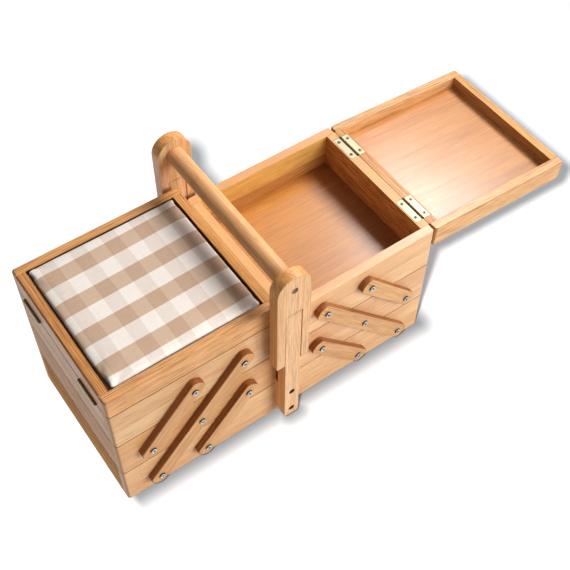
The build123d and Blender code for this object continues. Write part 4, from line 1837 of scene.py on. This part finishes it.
@dataclass
class Handle:
    """The fixed carrying handle: uprights, forks and a round bar."""

    bench: Bench
    foot_corner: float = 0.005
    rim: float = 0.0006
    slot_play: float = 0.0004
    slot_gap: float = 0.0006          # the slot's further play on the right of the tongue
    screw_heights: tuple[float, float] = (0.026, 0.065)       # of a post's two screws
    screw_sink: float = 0.004         # how deep those two lie
    well_radius: float = 0.0041
    fork_sink: float = 0.0020         # how deep a fork's screw lies
    fork_well: tuple[float, float] = (0.0026, 0.0043)         # its well's radius, inside and at the face
    fork_well_depth: float = 0.003
    overrun: float = 0.002            # how far a well's cut runs out of the wood
    bar_ease: float = 0.0004
    screw: ClassVar[ScrewHead] = ScrewHead(0.0039, 0.0002, 0.0001, 0.0022, 0.0005, 0.0010, 0.0012)

    def __post_init__(self) -> None:
        """Reads the bar's height and the posts' front face from the frame."""
        self.bar_low, self.bar_high = corners("handle_bar")
        self.bar_level = (self.bar_low[2] + self.bar_high[2]) / 2
        self.face = corners("handle_front_post")[0][1]

    def build(self) -> None:
        """Builds and dresses every piece of the handle."""
        self.posts()
        self.forks()
        self.spacers()
        self.bar()
        self.screws()

    def pair(self, part: str, front: Skin, wells: list[Skin]) -> None:
        """Makes the front and back piece of an upright, with their wells cut out.

        Args:
            part: the pieces' name.
            front: the front one's surface.
            wells: the rooms for its screws.
        """
        for name in ("front", "back"):
            skin, *cuts = (made if name == "front" else made.to_back() for made in (front, *wells))
            self.bench.make(f"handle_{name}_{part}_board", skin, POST_Z, "root",
                            f"handle_{name}_{part}", cuts=cuts)

    def posts(self) -> None:
        """Lower uprights with their screw wells."""
        low, high = corners("handle_front_post")
        outline = rounded_outline(rectangle(low[0], low[2], high[0], high[2]),
                                  [self.foot_corner, self.foot_corner, 0.0004, 0.0004], 6)
        well = facing_front(lathe([(self.well_radius, -self.face - self.screw_sink),
                                   (self.well_radius, -self.face + self.overrun)], 28))
        self.pair("post", facing_front(prism(outline, -high[1], -low[1], self.rim, self.rim)),
                  [well.moved((0.0, 0.0, height)) for height in self.screw_heights])

    def forks(self) -> None:
        """Upper uprights: an arc over the bar, and a slot from below for the post's tongue.

        The fork is a band between an inner line, up one side of the slot, across and down, and an outer
        line, up one flank, over the crown and down. Its section at each place joins the two.
        """
        low, high = corners("handle_front_fork")
        tongue = corners("handle_front_post")[1]
        radius, slot, top = high[0], tongue[0] + self.slot_play, tongue[2] + self.slot_play
        rise = np.linspace(0.0, 1.0, 14)
        arc = np.linspace(0.0, math.pi, 53)

        def arch(half: float, level: float, over: np.ndarray) -> np.ndarray:
            """A line up one leg, over and down the other."""
            leg = np.stack([np.full(len(rise), half), low[2] + (level - low[2]) * rise], -1)
            return np.concatenate([leg[:-1], over, (leg * (-1, 1))[-2::-1]])

        crown = np.stack([radius * np.cos(arc), self.bar_level + radius * np.sin(arc)], -1)
        outer = arch(radius, self.bar_level, crown)
        inner = arch(slot, top, np.stack([slot * np.cos(arc), np.full(len(arc), top)], -1))
        inner[:, 0] += np.where(inner[:, 0] > slot * 0.98, self.slot_gap, 0.0)
        skin = facing_front(band(inner, outer, -high[1], -low[1], 0.0003, self.rim))
        narrow, wide = self.fork_well
        well = facing_front(lathe([(narrow, -low[1] - self.fork_well_depth), (wide, -low[1] - 0.0002),
                                   (wide, -low[1] + self.overrun)], 28))
        self.pair("fork", skin, [well.moved((0.0, 0.0, self.bar_level))])

    def spacers(self) -> None:
        """Pads between the posts and the base."""
        low, high = corners("handle_spacers")
        high[1] = corners("base_front_wall")[0][1]
        pad = board(low, high, (0, -1), 0.0008, 0.0005, 0.0005)
        self.bench.make("handle_spacer_pads", pad.front_and_back(), POST_Z, "root", "handle_spacers")

    def bar(self) -> None:
        """The round grip."""
        radius, half, ease = (self.bar_high[0] - self.bar_low[0]) / 2, self.bar_high[1], self.bar_ease
        spans = np.linspace(-half + ease, half - ease, 30)
        profile = [(radius - ease, -half), *((radius, span) for span in spans), (radius - ease, half)]
        skin = along_y(lathe(profile, 64)).moved((0.0, 0.0, self.bar_level))
        self.bench.make("handle_bar_rod", skin, BAR_Y, "root", "handle_bar")

    def screws(self) -> None:
        """Countersunk screws in the posts and the forks."""
        sinks = {height: self.screw_sink for height in self.screw_heights} | {self.bar_level: self.fork_sink}
        heads = []
        for number, (height, sink) in enumerate(sinks.items()):
            head = facing_front(replace(self.screw, turn=0.2 + number).skin())
            heads.append(head.moved((0.0, self.face + sink, height)))
        self.bench.make("handle_screw_heads", joined(heads).front_and_back(), STEEL, "root",
                        "handle_screws")


# ---- Studio ----
@dataclass(frozen=True)
class SoftBox:
    """A square soft box."""

    name: str
    place: tuple[float, float, float]
    size: float                       # its side
    power: float                      # watts
    colour: Colour

    def build(self, aim: Point, spared: Sequence[bpy.types.Object]) -> bpy.types.Object:
        """Hangs the lamp.

        Args:
            aim: what it points at.
            spared: what it leaves unlit.

        Returns:
            The lamp's object.
        """
        lamp = bpy.data.lights.new(self.name, "AREA")
        lamp.shape, lamp.size, lamp.energy, lamp.color = "SQUARE", self.size, self.power, self.colour
        made = in_scene(self.name, lamp)
        made.location = self.place
        made.rotation_euler = (Vector(aim) - Vector(self.place)).to_track_quat("-Z", "Y").to_euler()
        receivers = bpy.data.collections.new(self.name + "_spares")
        for number, piece in enumerate(spared):
            receivers.objects.link(piece)
            receivers.collection_objects[number].light_linking.link_state = "EXCLUDE"
        made.light_linking.receiver_collection = receivers
        return made


@dataclass
class Studio:
    """White floor, soft light and the camera."""

    camera_place: tuple[float, float, float] = (-0.36828, -0.61161, 1.10791)
    camera_turn: tuple[float, float, float] = (36.390, -0.5769, -35.3733)     # degrees
    focal: float = 63.176             # millimetres
    shift: tuple[float, float] = (0.0006, -0.0012)
    aim: tuple[float, float, float] = (0.08, 0.0, 0.15)
    key: SoftBox = SoftBox("key_box", (2.00, 0.25, 2.62), 1.1, 92.0, (1.0, 0.985, 0.965))
    fill: SoftBox = SoftBox("front_box", (0.80, -1.65, 0.80), 1.2, 34.0, (1.0, 0.99, 0.98))
    gloss: SoftBox = SoftBox("gloss_box", (1.08, 0.55, 1.34), 0.43, 27.0, (1.0, 0.97, 1.0))
    shadow_lamp: tuple[float, float, float] = (-0.400, -0.525, 1.108)
    shadow_power: float = 6.0         # watts
    shadow_strength: float = 10.0     # on the floor, at any distance
    shadow_blur: float = 0.042        # the shadow lamp's radius
    sky: float = 0.2                  # strength of the surround as a light
    sky_colour: Colour = (0.99, 0.995, 1.0)
    floor_half: float = 6.0
    floor_level: float = -0.0002
    papers: tuple[Colour, Colour] = ((0.94, 0.94, 0.94), (0.90, 0.90, 0.90))
    paper_turns: float = 30.0         # of the paper's unevenness, in a metre
    floor_light: Colour = (0.42, 0.41, 0.40)    # what the floor throws back at the object
    floor_glow: float = 0.28
    glow_colour: Colour = (0.90, 0.95, 1.0)
    # contact_shade, contact, left_relief and the foot sizes shape a painted contact shadow on the floor
    contact_shade: Colour = (0.26, 0.275, 0.29)
    contact: float = 0.037            # how far from the base the floor still darkens
    left_relief: tuple[float, float] = (0.012, 2.3)     # where that starts at the left end, and how steep
    foot_middle: float = 0.007        # the posts' feet, as the floor's shade sees them
    foot_half: float = 0.004
    foot_start: float = 0.117

    def build(self) -> None:
        """Sets up the floor, the lamps, the world and the camera."""
        ground = self.floor()
        self.lamps(ground)
        self.world()
        self.camera()
        bpy.context.scene.view_settings.view_transform = "Standard"

    def floor(self) -> bpy.types.Object:
        """A wide white floor just under the base, which holds the object's shadow and a painted contact
        shadow close round the base and the posts' feet.

        Returns:
            The floor.
        """
        size, level = self.floor_half, self.floor_level
        mesh = bpy.data.meshes.new("studio_floor")
        mesh.from_pydata([(x, y, level) for x, y in rectangle(-size, -size, size, size)], [], [(0, 1, 2, 3)])
        graph = Graph.material("studio_white")
        seen = graph.seen()
        place = graph.add("ShaderNodeTexCoord", None, None, "Object")
        grain = graph.noise(place, 2.0, 0.5, self.paper_turns)
        # Painted contact shadow: the floor darkens towards contact_shade close to the base and the posts'
        # feet
        bright = graph.mix(self.from_foot(graph, place).rise(-0.001, self.contact), self.contact_shade, WHITE)
        paper = graph.mix(grain * 0.02, *self.papers)
        paper = graph.mix(seen, self.floor_light, graph.mix(1.0, paper, bright, "MULTIPLY"))
        matt = graph.add("ShaderNodeBsdfDiffuse", None, {"Color": paper})
        lit = graph.mix(1.0, bright, self.glow_colour, "MULTIPLY")
        glow = graph.add("ShaderNodeEmission", None, {"Color": lit, "Strength": 1.0})
        graph.end(graph.add("ShaderNodeMixShader", None, {0: seen * self.floor_glow, 1: matt, 2: glow}))
        mesh.materials.append(graph.owner)
        ground = in_scene("studio_floor", mesh)
        return ground

    def from_foot(self, graph: Graph, place: Wire) -> Wire:
        """How far a point of the floor is from the base, or from a post's foot if that is nearer.

        Args:
            graph: the floor's nodes.
            place: the point.

        Returns:
            The distance, never below 0.
        """
        x, y, _ = graph.split(place)
        low, high = corners("base_front_wall")[0], corners("base_back_wall")[1]
        inset, slope = self.left_relief
        aside = (x - high[0]).most((low[0] + inset - x) * slope).most(0.0)
        ahead = (y.size() - high[1]).most(0.0)
        from_base = (aside * aside + ahead * ahead).math("SQRT")
        aside = ((x - self.foot_middle).size() - self.foot_half).most(0.0)
        ahead = (y.size() - self.foot_start).most(0.0)
        return from_base.least((aside * aside + ahead * ahead).math("SQRT"))

    def lamps(self, ground: bpy.types.Object) -> None:
        """A key from the right, a fill from the front, a gloss from behind, and the floor's own lamp.

        Args:
            ground: the floor.
        """
        plates = [piece for piece in bpy.data.objects if piece.name.endswith("_plates")]
        self.key.build(self.aim, [ground])
        self.fill.build(self.aim, [ground])
        self.gloss.build(self.aim, [ground, *plates]).visible_diffuse = False
        self.floor_lamp(ground)

    def floor_lamp(self, ground: bpy.types.Object) -> None:
        """Hangs a small high lamp that lights the floor alone, as strong far off as close by.

        Args:
            ground: the floor.
        """
        lamp = bpy.data.lights.new("floor_lamp", "POINT")
        lamp.shadow_soft_size, lamp.energy = self.shadow_blur, self.shadow_power
        graph = Graph(lamp, "ShaderNodeOutputLight")
        even = graph.add("ShaderNodeLightFalloff", None, {"Strength": self.shadow_strength}, "Constant")
        graph.end(graph.add("ShaderNodeEmission", None, {"Strength": even}))
        made = in_scene("floor_lamp", lamp)
        made.location = self.shadow_lamp
        receivers = bpy.data.collections.new("lit_floor_only")
        receivers.objects.link(ground)
        made.light_linking.receiver_collection = receivers

    def world(self) -> None:
        """A pale surround: dim for the object's own light, white where it is seen or mirrored."""
        world = bpy.data.worlds.new("white_room")
        bpy.context.scene.world = world
        graph = Graph(world, "ShaderNodeOutputWorld")
        level = graph.add("ShaderNodeMapRange", None, {0: graph.seen(), 3: self.sky, 4: 1.0})
        graph.end(graph.add("ShaderNodeBackground", None, {0: self.sky_colour, 1: level}))

    def camera(self) -> None:
        """The camera, at its measured place."""
        lens = bpy.data.cameras.new("camera")
        lens.lens, lens.sensor_width = self.focal, 36.0
        lens.shift_x, lens.shift_y = self.shift
        made = in_scene("camera", lens)
        made.location = self.camera_place
        made.rotation_euler = tuple(math.radians(angle) for angle in self.camera_turn)
        bpy.context.scene.camera = made


def main() -> None:
    """Builds the box, then the studio round it."""
    logging.basicConfig(level=logging.INFO, format="%(message)s")
    bench = Bench({})
    Base(bench).build()
    for side in INWARD:
        for tier in ("mid", "top"):
            Tray(bench, side, tier).build()
        Hinges(bench, side).build()
        Lid(bench, side).build()
    Links(bench).build()
    Screws(bench).build()
    Handle(bench).build()
    Studio().build()


if __name__ == "__main__":
    main()
